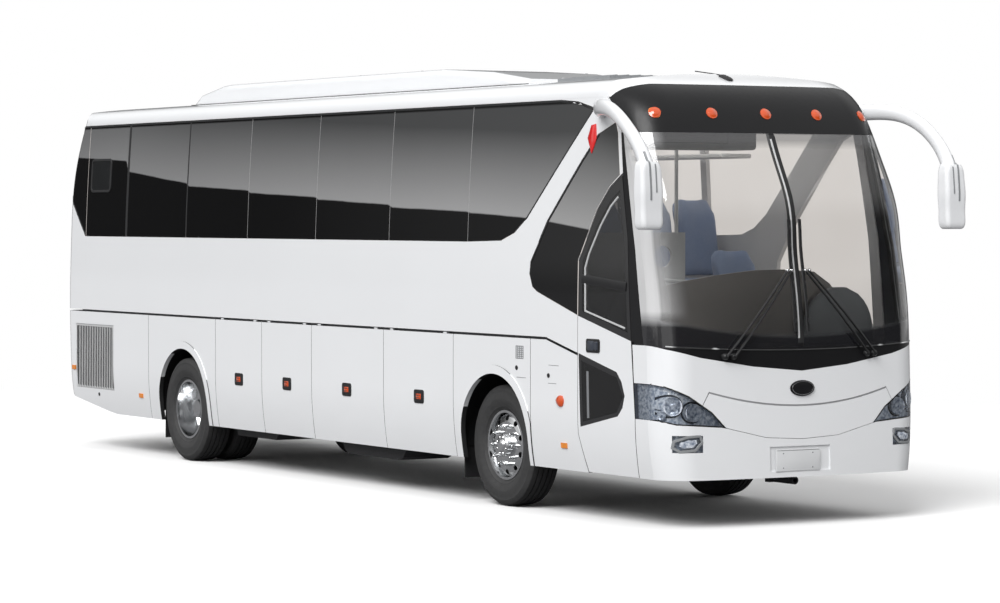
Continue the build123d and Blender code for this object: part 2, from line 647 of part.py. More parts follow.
hood_line = both_sides(HOOD_TOP)
bumper_line = both_sides(BUMPER_LINE)
above_hood = front_block(
    tuple((y, z + SEAT_GAP) for y, z in hood_line)
    + ((1500, 1462), (1500, 3800), (-1500, 3800), (-1500, 1462)),
    4000, 6400,
)
pillar_zone = side_block(
    tuple((x + SEAT_GAP, z) for x, z in WALL_FRONT)
    + ((6300, SCREEN_TOP), (6300, 1000), (5420, 1200), (5380, 1475))
)
SCREEN_EDGE = ((5524.0, 1449.0), (5384.0, 2207.0), (5241.0, 2764.0), (5135.0, SCREEN_TOP + 5))
PANE_SHIFT = 0.7


def screen_zone(shift, top):
    """Space of the two panes, its edges moved inwards by shift, up to a height."""
    outline = tuple((x + shift, z + shift) for x, z in SCREEN_EDGE)
    zone = side_block(outline + ((6300, outline[-1][1]), (6300, SCREEN_LOW_FRONT + shift)))
    zone = zone & block(4000, 6400, -1500, 1500, 1000, top)
    return zone - block(4000, 6400, -MULLION / 2 - shift, MULLION / 2 + shift, 1000, 3800)


glass_zone = screen_zone(0.0, SCREEN_TOP + 5)
screen_frame = (pillar_zone & above_hood & NOSE_OUTER) - NOSE_INNER - glass_zone
save("windscreen_frame", screen_frame)
screen = (screen_zone(PANE_SHIFT, SCREEN_TOP - SEAT_GAP) & above_hood & NOSE_OUTER) - NOSE_GLASS
save("windscreens", screen)

# Front panel, bumper and lamps
HEADLAMP = (
    (1300, 1157), (1212, 1131), (1048, 1053), (849, 922), (720, 800), (957, 822), (1143, 833),
    (1300, 871),
)
(top_x, top_z), (foot_x, foot_z) = FRONT_EDGE
front_zone = side_block(((top_x, top_z), (foot_x, foot_z), (foot_x, 200), (6300, 200), (6300, top_z)))
lamp_limit = front_zone.moved(Location((1, 0, 0)))
between = front_block(
    hood_line + tuple((y, z + 2) for y, z in reversed(bumper_line)), 4000, 6400
)
below = front_block(
    tuple((y, z - 2) for y, z in bumper_line) + ((1500, 876), (1500, 390), (-1500, 390), (-1500, 876)),
    4000, 6400,
)
FOG = ((932, 743), (1171, 746), (1168, 612), (933, 609))


def lamp_block(points, side, grow, x0):
    """Lamp outline on one side, moved outwards by grow and pushed along X."""
    wire = Wire.make_polygon([(x0, y * side, z) for y, z in points]).offset_2d(grow)
    return Solid.extrude(Face(wire), (6400 - x0, 0, 0))


hood = (front_zone & between & NOSE_OUTER) - NOSE_INNER
bumper = (front_zone & below & NOSE_OUTER) - NOSE_INNER
lamps = []
for side in (-1, 1):
    for points, x0 in ((HEADLAMP, 4800), (FOG, 5500)):
        hole = lamp_block(points, side, SEAT_GAP, x0)
        hood = hood - hole
        bumper = bumper - hole
        lens = lamp_block(points, side, -SEAT_GAP, x0)
        lamps.append((lens & lamp_limit & NOSE_OUTER) - NOSE_INNER)
PLATE_AREA = (-319.0, 269.0, 437.0, 637.0)
PLATE_RECESS = 12.0
y0, y1, z0, z1 = PLATE_AREA
bumper = bumper - (block(5700, 6300, y0, y1, z0, z1) - nose(PLATE_RECESS))
save("front_panel", hood)
save("front_bumper", bumper)
save("front_lamps", *lamps)

# Entrance door: lower leaf with window holes, its glass and the arm that swings it
door_outline = (
    (4652, SKIRT_BOTTOM + 7), (4541, 700), (4541, 2112), (4680, 2323), (4807, 2525), (4981, 2702),
    (5150, 2803), (5267, 2300), (5340, 1475), (5398, 865), (5398, SKIRT_BOTTOM + 7),
)
door = (on_side(door_outline, -1) & OUTER) - DOOR_INNER
upper_window = ((4600, 1700), (5290, 1545), (5230, 2240), (5130, 2690), (4990, 2600), (4820, 2420), (4600, 2110))
lower_window = ((4590, 1300), (5130, 1180), (5225, 1030), (5130, 900), (4615, 800))
for points in (upper_window, lower_window):
    door = door - on_side(points, -1)
LEAF_PIN_X = 4710.0
LEAF_PIN_Y = -1180.0
ARM_HEIGHTS = (600.0, 1500.0)
ARM_THICK = 30.0
LEAF_PIN = 9.0
for z in ARM_HEIGHTS:
    for dz in (-35.0, 20.0):
        ear = block(LEAF_PIN_X - 20, LEAF_PIN_X + 20, -1255, LEAF_PIN_Y, z + dz, z + dz + 15)
        tip = rod((LEAF_PIN_X, LEAF_PIN_Y, z + dz), (LEAF_PIN_X, LEAF_PIN_Y, z + dz + 15), 20)
        door = door + (ear & cross_section(DOOR_WALL - 5, *BAR_ENDS)) + tip
    door = door + rod((LEAF_PIN_X, LEAF_PIN_Y, z - 30), (LEAF_PIN_X, LEAF_PIN_Y, z + 30), LEAF_PIN)
save("passenger_door", door)
door_glass = []
for points in (upper_window, lower_window):
    face = inset_polygon(points, 0.5)
    door_glass.append((side_prism(face, -1) & OUTER) - cross_section(6.0, *BAR_ENDS))
save("passenger_door_glass", *door_glass)
arm = rod((POST_X, POST_Y, 436), (POST_X, POST_Y, 2858), POST_RADIUS)
for z in ARM_HEIGHTS:
    low = z - ARM_THICK / 2
    bar = block(LEAF_PIN_X, POST_X, -14, 14, low, low + ARM_THICK)
    angle = math.degrees(math.atan2(POST_Y - LEAF_PIN_Y, POST_X - LEAF_PIN_X))
    bar = bar.moved(Location((-POST_X, 0, 0))).rotate(Axis.Z, angle).moved(Location((POST_X, POST_Y, 0)))
    eye = rod((LEAF_PIN_X, LEAF_PIN_Y, low), (LEAF_PIN_X, LEAF_PIN_Y, low + ARM_THICK), 22)
    bore = rod((LEAF_PIN_X, LEAF_PIN_Y, low - 1), (LEAF_PIN_X, LEAF_PIN_Y, low + ARM_THICK + 1), LEAF_PIN + 0.5)
    arm = arm + bar + eye - bore
arm = arm - rod((POST_X, POST_Y, 430), (POST_X, POST_Y, 475), POST_PIN + 0.5)
arm = arm - rod((POST_X, POST_Y, 2825), (POST_X, POST_Y, 2870), POST_PIN + 0.5)
save("door_arm", arm)

# Rear: panel with its window, engine lid on outside hinges, bumper and lamps
LID_HALF = 1000.0
LID_BOTTOM = 700.0
REAR_WINDOW = (-930.0, 930.0, 2280.0, 3210.0)
REAR_PANE = ((TAIL_JOIN + 10, BAND_BOTTOM), (-5471, BAND_BOTTOM), (-5983, 2757), (-5871, 3293),
             (-5635, BAND_TOP), (TAIL_JOIN + 10, BAND_TOP))
REAR_LAMPS = ((950.0, 1430.0, 1135.0, 1215.0), (2780.0, 3190.0, 940.0, 1020.0))


def rear_block(y0, y1, z0, z1, shrink=0.0):
    """Block through the rear wall."""
    return block(-6300, -5850 if z0 < 2000 else -5700, y0 + shrink, y1 - shrink, z0 + shrink, z1 - shrink)


rear_panel = (block(-6300, TAIL_JOIN - 0.25, -1500, 1500, WAIST, ROOF_EDGE) & TAIL_OUTER) - TAIL_INNER
rear_panel = rear_panel - rear_block(*REAR_WINDOW)
rear_panes = []
rear_lamps = []
for side in (-1, 1):
    rear_panel = rear_panel - on_side(REAR_PANE, side, 1000.0)
    pane = side_prism(inset_polygon(REAR_PANE, 0.5), side) & TAIL_OUTER
    rear_panes.append((pane & block(-6300, TAIL_JOIN - 3, -1500, 1500, 2000, 3600)) - TAIL_GLASS)
    low, high, inner, outer = REAR_LAMPS[1]
    y0, y1 = sorted((side * inner, side * outer))
    rear_panel = rear_panel - rear_block(y0, y1, low, high)
LID_HINGE_X = -6103.0
LID_HINGE_Z = 1463.0
LID_HINGE_Y = 600.0
for side in (-1, 1):
    y = LID_HINGE_Y * side
    rear_panel = rear_panel + rod((LID_HINGE_X, y - 60, LID_HINGE_Z), (LID_HINGE_X, y + 60, LID_HINGE_Z), 6)
    for start in (y - 60, y + 36):
        rear_panel = rear_panel + block(LID_HINGE_X, -6060, start, start + 24, WAIST - 3, WAIST + 12)
        rear_panel = rear_panel + block(LID_HINGE_X - 6, LID_HINGE_X + 6, start, start + 24, LID_HINGE_Z, WAIST + 12)
save("rear_panel", rear_panel)
save("side_windows", *side_panes, *rear_panes)
save("rear_window", (rear_block(*REAR_WINDOW, 0.5) & TAIL_OUTER) - TAIL_GLASS)
lid = (block(-6300, -5300, -LID_HALF, LID_HALF, LID_BOTTOM, FLAP_TOP) & TAIL_OUTER) - TAIL_INNER
for side in (-1, 1):
    y = LID_HINGE_Y * side
    eye = rod((LID_HINGE_X, y - 34, LID_HINGE_Z), (LID_HINGE_X, y + 34, LID_HINGE_Z), 12)
    strap = block(LID_HINGE_X - 6, LID_HINGE_X + 6, y - 34, y + 34, 1380, LID_HINGE_Z)
    foot = block(LID_HINGE_X - 6, -6060, y - 34, y + 34, 1380, 1440)
    bore = rod((LID_HINGE_X, y - 40, LID_HINGE_Z), (LID_HINGE_X, y + 40, LID_HINGE_Z), 6.5)
    lid = lid + eye + strap + foot - bore
LOUVRES = 7
LOUVRE_PITCH = 46.0
LOUVRE_OPEN = 18.0
LOUVRE_HALF = 720.0
for number in range(LOUVRES):
    z = 930.0 + number * LOUVRE_PITCH
    lid = lid - block(-6300, -5900, -LOUVRE_HALF, LOUVRE_HALF, z, z + LOUVRE_OPEN)
save("engine_lid", lid)
rear_bumper = (block(-6300, TAIL_CORNER - 0.25, -1500, 1500, 545, FLAP_TOP) & TAIL_OUTER) - TAIL_INNER
rear_bumper = rear_bumper - block(-6300, -5300, -LID_HALF - 6, LID_HALF + 6, LID_BOTTOM - 6, 1500)
for side in (-1, 1):
    low, high, inner, outer = REAR_LAMPS[0]
    y0, y1 = sorted((side * inner, side * outer))
    rear_bumper = rear_bumper - rear_block(y0, y1, low, high)
    for low, high, inner, outer in REAR_LAMPS:
        y0, y1 = sorted((side * inner, side * outer))
        rear_lamps.append((rear_block(y0, y1, low, high, 0.5) & TAIL_OUTER) - TAIL_INNER)
save("rear_bumper", rear_bumper)
save("rear_lamps", *rear_lamps)

# Small marker lamps: five on the cap, three along each side
markers = []
for y in CAP_LAMPS:
    start = 5320.0 if abs(y) < 1000 else 5180.0
    markers.append(rod((start, y, CAP_LAMP_Z), (5600, y, CAP_LAMP_Z), CAP_LAMP_RADIUS) & NOSE_OUTER)
PROUD = cross_section(-10.0, *BAR_ENDS)
SEATED = cross_section(-0.3, *BAR_ENDS)
for side in (-1, 1):
    for x, z in ((-5740, 844), (-4035, 613), (4310, 588), (4266, 953)):
        zone = on_side(rectangle(x - 45, x + 45, z - 22, z + 22), side)
        markers.append((zone & PROUD) - SEATED)
save("marker_lamps", *markers)

# Roof air unit: one long low fairing that follows the crown
AIR_HALF = 600.0
air_profile = (
    (-4188, 3560), (-4188, 3632), (-4006, 3734), (-3505, 3811), (-3355, 3820), (1069, 3815),
    (1936, 3762), (2611, 3677), (2650, 3560),
)
AIR_ROUND = 60.0
AIR_SHOULDER = 3640.0
air = side_block(air_profile, -AIR_HALF, AIR_HALF)
air_edges = [
    edge for edge in air.edges()
    if abs(abs(edge.center().Y) - AIR_HALF) < 1 and edge.center().Z > AIR_SHOULDER and edge.length > 70
]
air = air.fillet(AIR_ROUND, air_edges) - SEATED
save("roof_air_unit", air)
hatch = block(HATCH[0] - 25, HATCH[1] + 25, HATCH[2] - 25, HATCH[3] + 25, 3400, 3690)
hatch = (hatch & cross_section(-34.0, *BAR_ENDS)) - SEATED
for side in (-1, 1):
    y = HATCH_HINGE_Y * side
    ends = (HATCH_HINGE_X, y - 28, HATCH_HINGE_Z), (HATCH_HINGE_X, y + 28, HATCH_HINGE_Z)
    strap = block(HATCH_HINGE_X, HATCH[0], y - 28, y + 28, HATCH_HINGE_Z - 5, HATCH_HINGE_Z + 5)
    hatch = hatch + rod(*ends, HATCH_PIN + 5) + strap - rod(*ends, HATCH_PIN + HINGE_FIT)
save("roof_hatch", hatch)

# Wheel arch liners: bent sheet between frame and skin
LINER = 6.0
liners = []
FRONT_LINER = 640.0
REAR_LINER = 590.0
for arch_x, radius, inner_y in ((FRONT_ARCH_X, FRONT_LINER, 560), (REAR_ARCH_X, REAR_LINER, 560)):
    for side in (-1, 1):
        start, end = (arch_x, side * inner_y, ARCH_Z), (arch_x, side * 1330, ARCH_Z)
        shell = rod(start, end, radius) - rod(start, end, radius - LINER)
        shell = shell & block(arch_x - 700, arch_x + 700, -1400, 1400, 480, 1300)
        liners.append(shell & cross_section(PANEL + SEAT_GAP, *BAR_ENDS))
save("arch_liners", *liners)
flaps = []
for arch_x, radius in ((FRONT_ARCH_X, FRONT_LINER), (REAR_ARCH_X, REAR_LINER)):
    for side in (-1, 1):
        low, high = sorted((side * 800, side * 1180))
        x = arch_x - radius
        flaps.append(block(x - 14, x - 0.5, low, high, 200, 700))
save("mud_flaps", *flaps)

# Front axle: forged beam with air springs, and the two knuckles
AXLE_Z = TYRE_RADIUS
BEAM_HALF = 45.0
beam_outline = (
    (0, 330), (680, 330), (800, 450), (KINGPIN_Y, 450), (KINGPIN_Y, 594), (790, 594), (640, 430), (0, 430),
)
beam = front_block(beam_outline, FRONT_AXLE_X - BEAM_HALF, FRONT_AXLE_X + BEAM_HALF)
beam = beam + front_block(
    tuple((-y, z) for y, z in beam_outline), FRONT_AXLE_X - BEAM_HALF, FRONT_AXLE_X + BEAM_HALF
)
SPRING_Y = RAIL_Y + RAIL_WIDTH / 2
for side in (-1, 1):
    place = (FRONT_AXLE_X, side * KINGPIN_Y)
    beam = beam + rod((*place, 450), (*place, 594), 55)
    beam = beam - rod((*place, 440), (*place, 604), KINGPIN_RADIUS + RUNNING_FIT)
    beam = beam + rod((FRONT_AXLE_X, side * SPRING_Y, 425), (FRONT_AXLE_X, side * SPRING_Y, RAIL_BOTTOM), 110)
save("front_axle_beam", beam)
for name, side in SIDES:
    place = (FRONT_AXLE_X, side * KINGPIN_Y)
    knuckle = rod((*place, 600), (*place, 645), 60) + rod((*place, 395), (*place, 444), 60)
    low, high = sorted((side * KINGPIN_Y, side * (KINGPIN_Y + 100)))
    for z0, z1 in ((600, 645), (395, 444)):
        knuckle = knuckle + block(FRONT_AXLE_X - 60, FRONT_AXLE_X + 60, low, high, z0, z1)
    low, high = sorted((side * (KINGPIN_Y + 65), side * (KINGPIN_Y + 100)))
    knuckle = knuckle + block(FRONT_AXLE_X - 60, FRONT_AXLE_X + 60, low, high, 395, 645)
    knuckle = knuckle + rod((*place, 400), (*place, 640), KINGPIN_RADIUS)
    spindle_end = side * (FRONT_WHEEL_Y + 120)
    knuckle = knuckle + rod(
        (FRONT_AXLE_X, side * (KINGPIN_Y + 90), AXLE_Z), (FRONT_AXLE_X, spindle_end, AXLE_Z), SPINDLE_RADIUS
    )
    save(f"knuckle_{name}", knuckle)

# Rear axle with its bowl, saddles and air springs
axle = rod((REAR_AXLE_X, -600, AXLE_Z), (REAR_AXLE_X, 600, AXLE_Z), 75)
bowl = Solid.make_sphere(190).moved(Location((REAR_AXLE_X, 0, AXLE_Z)))
axle = axle + (bowl & block(REAR_AXLE_X - 200, REAR_AXLE_X + 200, -120, 120, 300, 750))
for side in (-1, 1):
    end = side * (DUAL_OUTER_Y + 10)
    axle = axle + rod((REAR_AXLE_X, side * 590, AXLE_Z), (REAR_AXLE_X, end, AXLE_Z), REAR_SPINDLE_RADIUS)
    low, high = sorted((side * (SPRING_Y - 50), side * (SPRING_Y + 50)))
    axle = axle + block(REAR_AXLE_X - 400, REAR_AXLE_X + 400, low, high, 560, 605)
    for dx in (-290, 290):
        foot = (REAR_AXLE_X + dx, side * SPRING_Y)
        axle = axle + rod((*foot, 600), (*foot, RAIL_BOTTOM), 105)
save("rear_axle", axle)

# Engine as one plain block between the rear rails
save("engine_block", block(-5850, -4420, -RAIL_Y + 5, RAIL_Y - 5, 560, 1330) +
     block(-5650, -5590, -RAIL_Y + 5, RAIL_Y - 5, 1320, CABIN_FLOOR - CABIN_FLOOR_THICK))

# Tanks that hang below the luggage floor
tank = side_block(((150, 384.5), (1400, 384.5), (1330, 300), (1250, 270), (300, 270), (220, 300)), -1130, -620)
tank = tank + side_block(((-2080, 384.5), (-1150, 384.5), (-1200, 310), (-2030, 310)), -1130, -620)
save("underfloor_tanks", tank)


# Wheels: profiles of offset along the axle and radius, turned about the axle line
def turned(outline, wheel_x, wheel_y, side):
    """Ring turned about the wheel's own axle; offsets grow outwards."""
    points = [(wheel_x, wheel_y + side * offset, AXLE_Z + radius) for offset, radius in outline]
    face = Face(Wire.make_polygon(points))
    ring = Solid.revolve(face, 360, Axis((wheel_x, wheel_y, AXLE_Z), (0, 1, 0)))
    return ring.fix()


def tyre(wheel_x, wheel_y, side):
    """Plain tyre with round shoulders."""
    half = TYRE_WIDTH / 2
    outline = (
        (-99, RIM_RADIUS + 0.4), (-103, 300), (-128, 335), (-half, 395), (-half + 4, 440), (-132, 490),
        (-TREAD_WIDTH / 2, 512), (-60, 520), (0, TYRE_RADIUS), (60, 520), (TREAD_WIDTH / 2, 512),
        (132, 490), (half - 4, 440), (half, 395), (128, 335), (103, 300), (99, RIM_RADIUS + 0.4),
    )
    return turned(outline, wheel_x, wheel_y, side)


def front_rim(wheel_x, wheel_y, side):
    """Steer wheel: barrel, domed disc near the outer face and the hub."""
    half = RIM_WIDTH / 2
    barrel = turned((
        (-half, RIM_LIP_RADIUS), (-half, RIM_RADIUS), (half, RIM_RADIUS), (half, RIM_LIP_RADIUS),
        (half + 6, RIM_LIP_RADIUS), (half + 6, RIM_RADIUS - RIM_WALL), (-half - 6, RIM_RADIUS - RIM_WALL),
        (-half - 6, RIM_LIP_RADIUS),
    ), wheel_x, wheel_y, side)
    disc = turned((
        (40, RIM_RADIUS - 4), (70, RIM_RADIUS - 20), (92, 235), (98, 200), (98, 90), (84, 90), (84, 198),
        (76, 228), (52, 262), (24, RIM_RADIUS - 4),
    ), wheel_x, wheel_y, side)
    bore = SPINDLE_RADIUS + RUNNING_FIT
    hub = turned((
        (-50, bore), (-50, 92), (140, 92), (150, 84), (150, 60), (165, 50), (165, 0), (130, 0), (130, bore),
    ), wheel_x, wheel_y, side)
    rim = barrel + disc + hub
    for number in range(HAND_HOLES):
        angle = math.radians((number + 0.5) * 360 / HAND_HOLES)
        x = wheel_x + 232 * math.cos(angle)
        z = AXLE_Z + 232 * math.sin(angle)
        rim = rim - rod((x, wheel_y + side * 40, z), (x, wheel_y + side * 130, z), 25)
    return rim


def dual_rims(wheel_x, side):
    """Twin wheel set: two barrels whose discs meet between them, with the hub."""
    half = RIM_WIDTH / 2
    middle = (DUAL_OUTER_Y + DUAL_INNER_Y) / 2
    shapes = []
    for wheel_y, way in ((DUAL_OUTER_Y, 1), (DUAL_INNER_Y, -1)):
        shapes.append(turned((
            (-half, RIM_LIP_RADIUS), (-half, RIM_RADIUS), (half, RIM_RADIUS), (half, RIM_LIP_RADIUS),
            (half + 6, RIM_LIP_RADIUS), (half + 6, RIM_RADIUS - RIM_WALL),
            (-half - 6, RIM_RADIUS - RIM_WALL), (-half - 6, RIM_LIP_RADIUS),
        ), wheel_x, side * wheel_y, side * way))
        shapes.append(turned((
            (-88, RIM_RADIUS - 4), (-132, 244), (-160, 206), (-160, 90), (-170, 90), (-170, 210),
            (-142, 252), (-104, RIM_RADIUS - 4),
        ), wheel_x, side * wheel_y, side * way))
    bore = REAR_SPINDLE_RADIUS + RUNNING_FIT
    hub = turned((
        (-310, bore), (-310, 205), (-290, 205), (-60, 205), (-40, 180), (12, 180), (12, 110), (150, 104),
        (165, 94), (195, 88), (195, 0), (185, 0), (185, bore),
    ), wheel_x, side * middle, side)
    return hub.fuse(*shapes)


for name, side in SIDES:
    save(f"front_tyre_{name}", tyre(FRONT_AXLE_X, side * FRONT_WHEEL_Y, side))
    save(f"front_rim_{name}", front_rim(FRONT_AXLE_X, side * FRONT_WHEEL_Y, side))
    save(
        f"rear_tyres_{name}",
        tyre(REAR_AXLE_X, side * DUAL_OUTER_Y, side), tyre(REAR_AXLE_X, side * DUAL_INNER_Y, side),
    )
    save(f"rear_rims_{name}", dual_rims(REAR_AXLE_X, side))

# Mirrors on horn shaped arms: centre, half height and half width of each ring, and its lean
HORN_RINGS = (
    ((4785, 1170, 3338), (75, 60), (0.35, 1.0, 0.0)),
    ((4850, 1260, 3345), (72, 50), (0.70, 0.70, 0.0)),
    ((5050, 1370, 3350), (66, 44), (0.92, 0.38, -0.05)),
    ((5350, 1450, 3305), (62, 42), (0.93, 0.18, -0.33)),
    ((5640, 1485, 3150), (62, 42), (0.75, 0.05, -0.66)),
    ((5830, 1487, 2960), (66, 50), (0.45, 0.0, -0.89)),
    ((5900, 1487, 2820), (70, 60), (0.10, 0.0, -1.0)),
)
HEAD_RINGS = (
    (2900, 5900, 60, 75), (2860, 5905, 68, 92), (2760, 5912, 72, 100), (2600, 5918, 74, 102),
    (2450, 5922, 72, 100), (2385, 5924, 64, 90), (2370, 5924, 50, 76),
)
HEAD_Y = 1487.0


def ellipse_ring(centre, half_high, half_wide, way):
    """Closed oval that faces along a direction, its height upright."""
    plane = Plane(origin=centre, x_dir=Vector(0, 0, 1).cross(Vector(*way)).cross(Vector(*way)) * -1, z_dir=way)
    return Wire(Edge.make_ellipse(half_high, half_wide, plane))


def box_ring(x, y, z, half_x, half_y, corner):
    """Rounded rectangle that lies flat."""
    return Wire(Face.make_rect(2 * half_x, 2 * half_y, Plane((x, y, z))).outer_wire().fillet_2d(
        corner, Face.make_rect(2 * half_x, 2 * half_y, Plane((x, y, z))).outer_wire().vertices()
    ).edges())


horn = Solid.make_loft([ellipse_ring(centre, *halves, way) for centre, halves, way in HORN_RINGS], False)
head = Solid.make_loft([
    box_ring(x, HEAD_Y, z, half_x, half_y, 34.0) for z, x, half_x, half_y in HEAD_RINGS
], False)
mirror_glass_hole = block(5800, 5862, HEAD_Y - 80, HEAD_Y + 80, 2440, 2820)
left_mirror = ((horn + head) - mirror_glass_hole) - SEATED
save("mirrors", left_mirror, left_mirror.mirror(Plane.XZ))

# Wipers parked in a V, blades beside the middle joint
wipers = []
for side in (-1, 1):
    pivot = (5850, side * 690, 1363)
    tip = (5830, side * 60, 2040)
    wipers.append(rod((5820, pivot[1], pivot[2]), (5905, pivot[1], pivot[2]), 22) +
                  rod((5895, pivot[1], pivot[2]), (5850, tip[1], tip[2]), 9) +
                  rod((5892, side * 60, 1560), (5800, side * 60, 2420), 9) - NOSE_SEATED)
save("wipers", *wipers)

# Inside: seats, dash, steering wheel and a panel behind the stairs
SEAT_PITCH = 820.0
seats = []


def seat_pair(x, y0, y1, floor_z):
    """Two joined seats: cushion, back and a plain leg."""
    cushion = block(x, x + 460, y0, y1, floor_z + 360, floor_z + 480)
    back = side_block(
        ((x - 10, floor_z + 480), (x + 110, floor_z + 480), (x - 60, floor_z + 1210), (x - 170, floor_z + 1210)),
        y0, y1,
    )
    leg = block(x + 120, x + 340, (y0 + y1) / 2 - 40, (y0 + y1) / 2 + 40, floor_z, floor_z + 360)
    return cushion + back + leg


for row in range(11):
    x = -5200 + row * SEAT_PITCH
    seats.append(seat_pair(x, 230, 1180, CABIN_FLOOR))
    seats.append(seat_pair(x, -1180, -230, CABIN_FLOOR))
seats.append(seat_pair(4130, 330, 860, DECK))
save("seats", *seats)
dash = side_block(
    ((5250, DECK), (5500, DECK), (5560, 1250), (5560, 1420), (5350, 1440), (5200, 1300)), -1090, 1090
)
dash = (dash + block(5000, 5260, 240, 950, 1180, 1440)) - block(4400, 5345, -1300, -600, 1000, 2000)
save("dashboard", dash)
WHEEL_CENTRE = (4860.0, 600.0, 1560.0)
WHEEL_LEAN = -24.0
grip = [
    (215 + 15 * math.cos(math.radians(30 * step)), 0, 15 * math.sin(math.radians(30 * step)))
    for step in range(12)
]
ring = Solid.revolve(Face(Wire.make_polygon(grip)), 360, Axis.Z)
ring = ring + rod((0, 0, -40), (0, 0, 4), 55) + rod((0, 0, -330), (0, 0, -20), 26)
for turn in (0, 120, 240):
    spoke = rod((40, 0, -14), (212, 0, 0), 9)
    ring = ring + spoke.rotate(Axis.Z, turn)
ring = ring.rotate(Axis.Y, WHEEL_LEAN).moved(Location(WHEEL_CENTRE))
save("steering_wheel", ring - block(5000, 5300, 200, 1000, 1100, 1440.5))
panel = block(4445, 4475, -1140, -180, CABIN_FLOOR + 0.3, CABIN_FLOOR + 900)
panel = panel - rod((4400, -400, CABIN_FLOOR + 700), (4600, -400, CABIN_FLOOR + 700), 90)
save("stair_screen", panel)
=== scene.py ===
import math

import bmesh
import bpy
from bpy.props import FloatProperty, FloatVectorProperty, IntProperty, PointerProperty
from mathutils import Matrix, Vector
from mathutils.bvhtree import BVHTree


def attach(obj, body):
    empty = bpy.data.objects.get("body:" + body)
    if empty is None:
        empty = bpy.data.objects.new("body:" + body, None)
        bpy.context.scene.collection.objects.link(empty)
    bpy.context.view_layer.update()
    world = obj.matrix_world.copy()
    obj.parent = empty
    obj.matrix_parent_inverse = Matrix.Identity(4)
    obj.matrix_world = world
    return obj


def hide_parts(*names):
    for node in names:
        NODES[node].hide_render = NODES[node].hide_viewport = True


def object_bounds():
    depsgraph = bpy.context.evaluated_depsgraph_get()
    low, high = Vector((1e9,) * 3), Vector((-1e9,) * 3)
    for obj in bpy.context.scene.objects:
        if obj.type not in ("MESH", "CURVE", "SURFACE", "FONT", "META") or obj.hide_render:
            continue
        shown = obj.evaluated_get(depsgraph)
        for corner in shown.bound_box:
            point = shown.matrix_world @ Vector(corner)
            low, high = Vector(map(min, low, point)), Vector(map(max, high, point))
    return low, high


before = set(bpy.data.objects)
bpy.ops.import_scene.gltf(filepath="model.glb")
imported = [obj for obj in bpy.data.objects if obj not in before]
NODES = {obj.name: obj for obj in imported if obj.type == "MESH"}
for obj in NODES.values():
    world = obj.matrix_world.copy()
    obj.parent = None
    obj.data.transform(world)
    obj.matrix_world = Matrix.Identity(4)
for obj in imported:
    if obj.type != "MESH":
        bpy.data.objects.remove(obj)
CAD_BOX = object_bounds()

bl_info = {
    "name": "Touring coach finishes",
    "version": (1, 0, 0),
    "blender": (4, 5, 0),
    "location": "View3D > Sidebar > Coach",
    "description": "Dresses the packed coach with paint, glass, tyres, lamps, seats and a stage",
    "category": "Object",
}

SIDES = ((-1, "right"), (1, "left"))
FRONT_AXLE_X = 3.180
REAR_AXLE_X = -3.020
AXLE_Z = 0.522
FRONT_WHEEL_Y = 1.045
DUAL_OUTER_Y = 1.090
DUAL_INNER_Y = 0.750
CABIN_FLOOR = 1.440
DECK = 1.000

# Camera that took the picture, in metres and degrees; its lens and sensor in millimetres
CAMERA_PLACE = (27.9426, -15.8354, 2.4929)
CAMERA_YAW = 149.433
CAMERA_PITCH = -1.484
CAMERA_LENS = 121.54
CAMERA_SENSOR = 36.0

# Cross section of the body, as in the construction
HALF_WIDTH = 1.275
TUCK_TOP = 0.900
TUCK_RADIUS = 3.105
BELT_TOP = 1.474
LEAN_RADIUS = 24.197


def half_width(height):
    """Half width of the body at a height."""
    if height < TUCK_TOP:
        return HALF_WIDTH - TUCK_RADIUS + math.sqrt(TUCK_RADIUS**2 - (TUCK_TOP - height) ** 2)
    if height > BELT_TOP:
        return HALF_WIDTH - LEAN_RADIUS + math.sqrt(LEAN_RADIUS**2 - (height - BELT_TOP) ** 2)
    return HALF_WIDTH


class Wire:
    """A socket that takes part in plain arithmetic; each operation adds its Math node."""

    def __init__(self, graph, socket):
        self.graph = graph
        self.socket = socket

    def math(self, operation, *terms):
        return self.graph.node("ShaderNodeMath", {"operation": operation}, dict(enumerate(terms)))

    def __add__(self, other):
        return self.math("ADD", self, other)

    def __radd__(self, other):
        return self.math("ADD", other, self)

    def __sub__(self, other):
        return self.math("SUBTRACT", self, other)

    def __rsub__(self, other):
        return self.math("SUBTRACT", other, self)

    def __mul__(self, other):
        return self.math("MULTIPLY", self, other)

    def __truediv__(self, other):
        return self.math("DIVIDE", self, other)

    def __pow__(self, other):
        return self.math("POWER", self, other)

    def __gt__(self, other):
        return self.math("GREATER_THAN", self, other)

    def __lt__(self, other):
        return self.math("LESS_THAN", self, other)

    def __abs__(self):
        return self.math("ABSOLUTE", self)

    def sine(self):
        return self.math("SINE", self)

    def larger(self, other):
        return self.math("MAXIMUM", self, other)

    def clamp(self):
        return self.graph.node("ShaderNodeClamp", {}, {0: self, 1: 0.0, 2: 1.0})


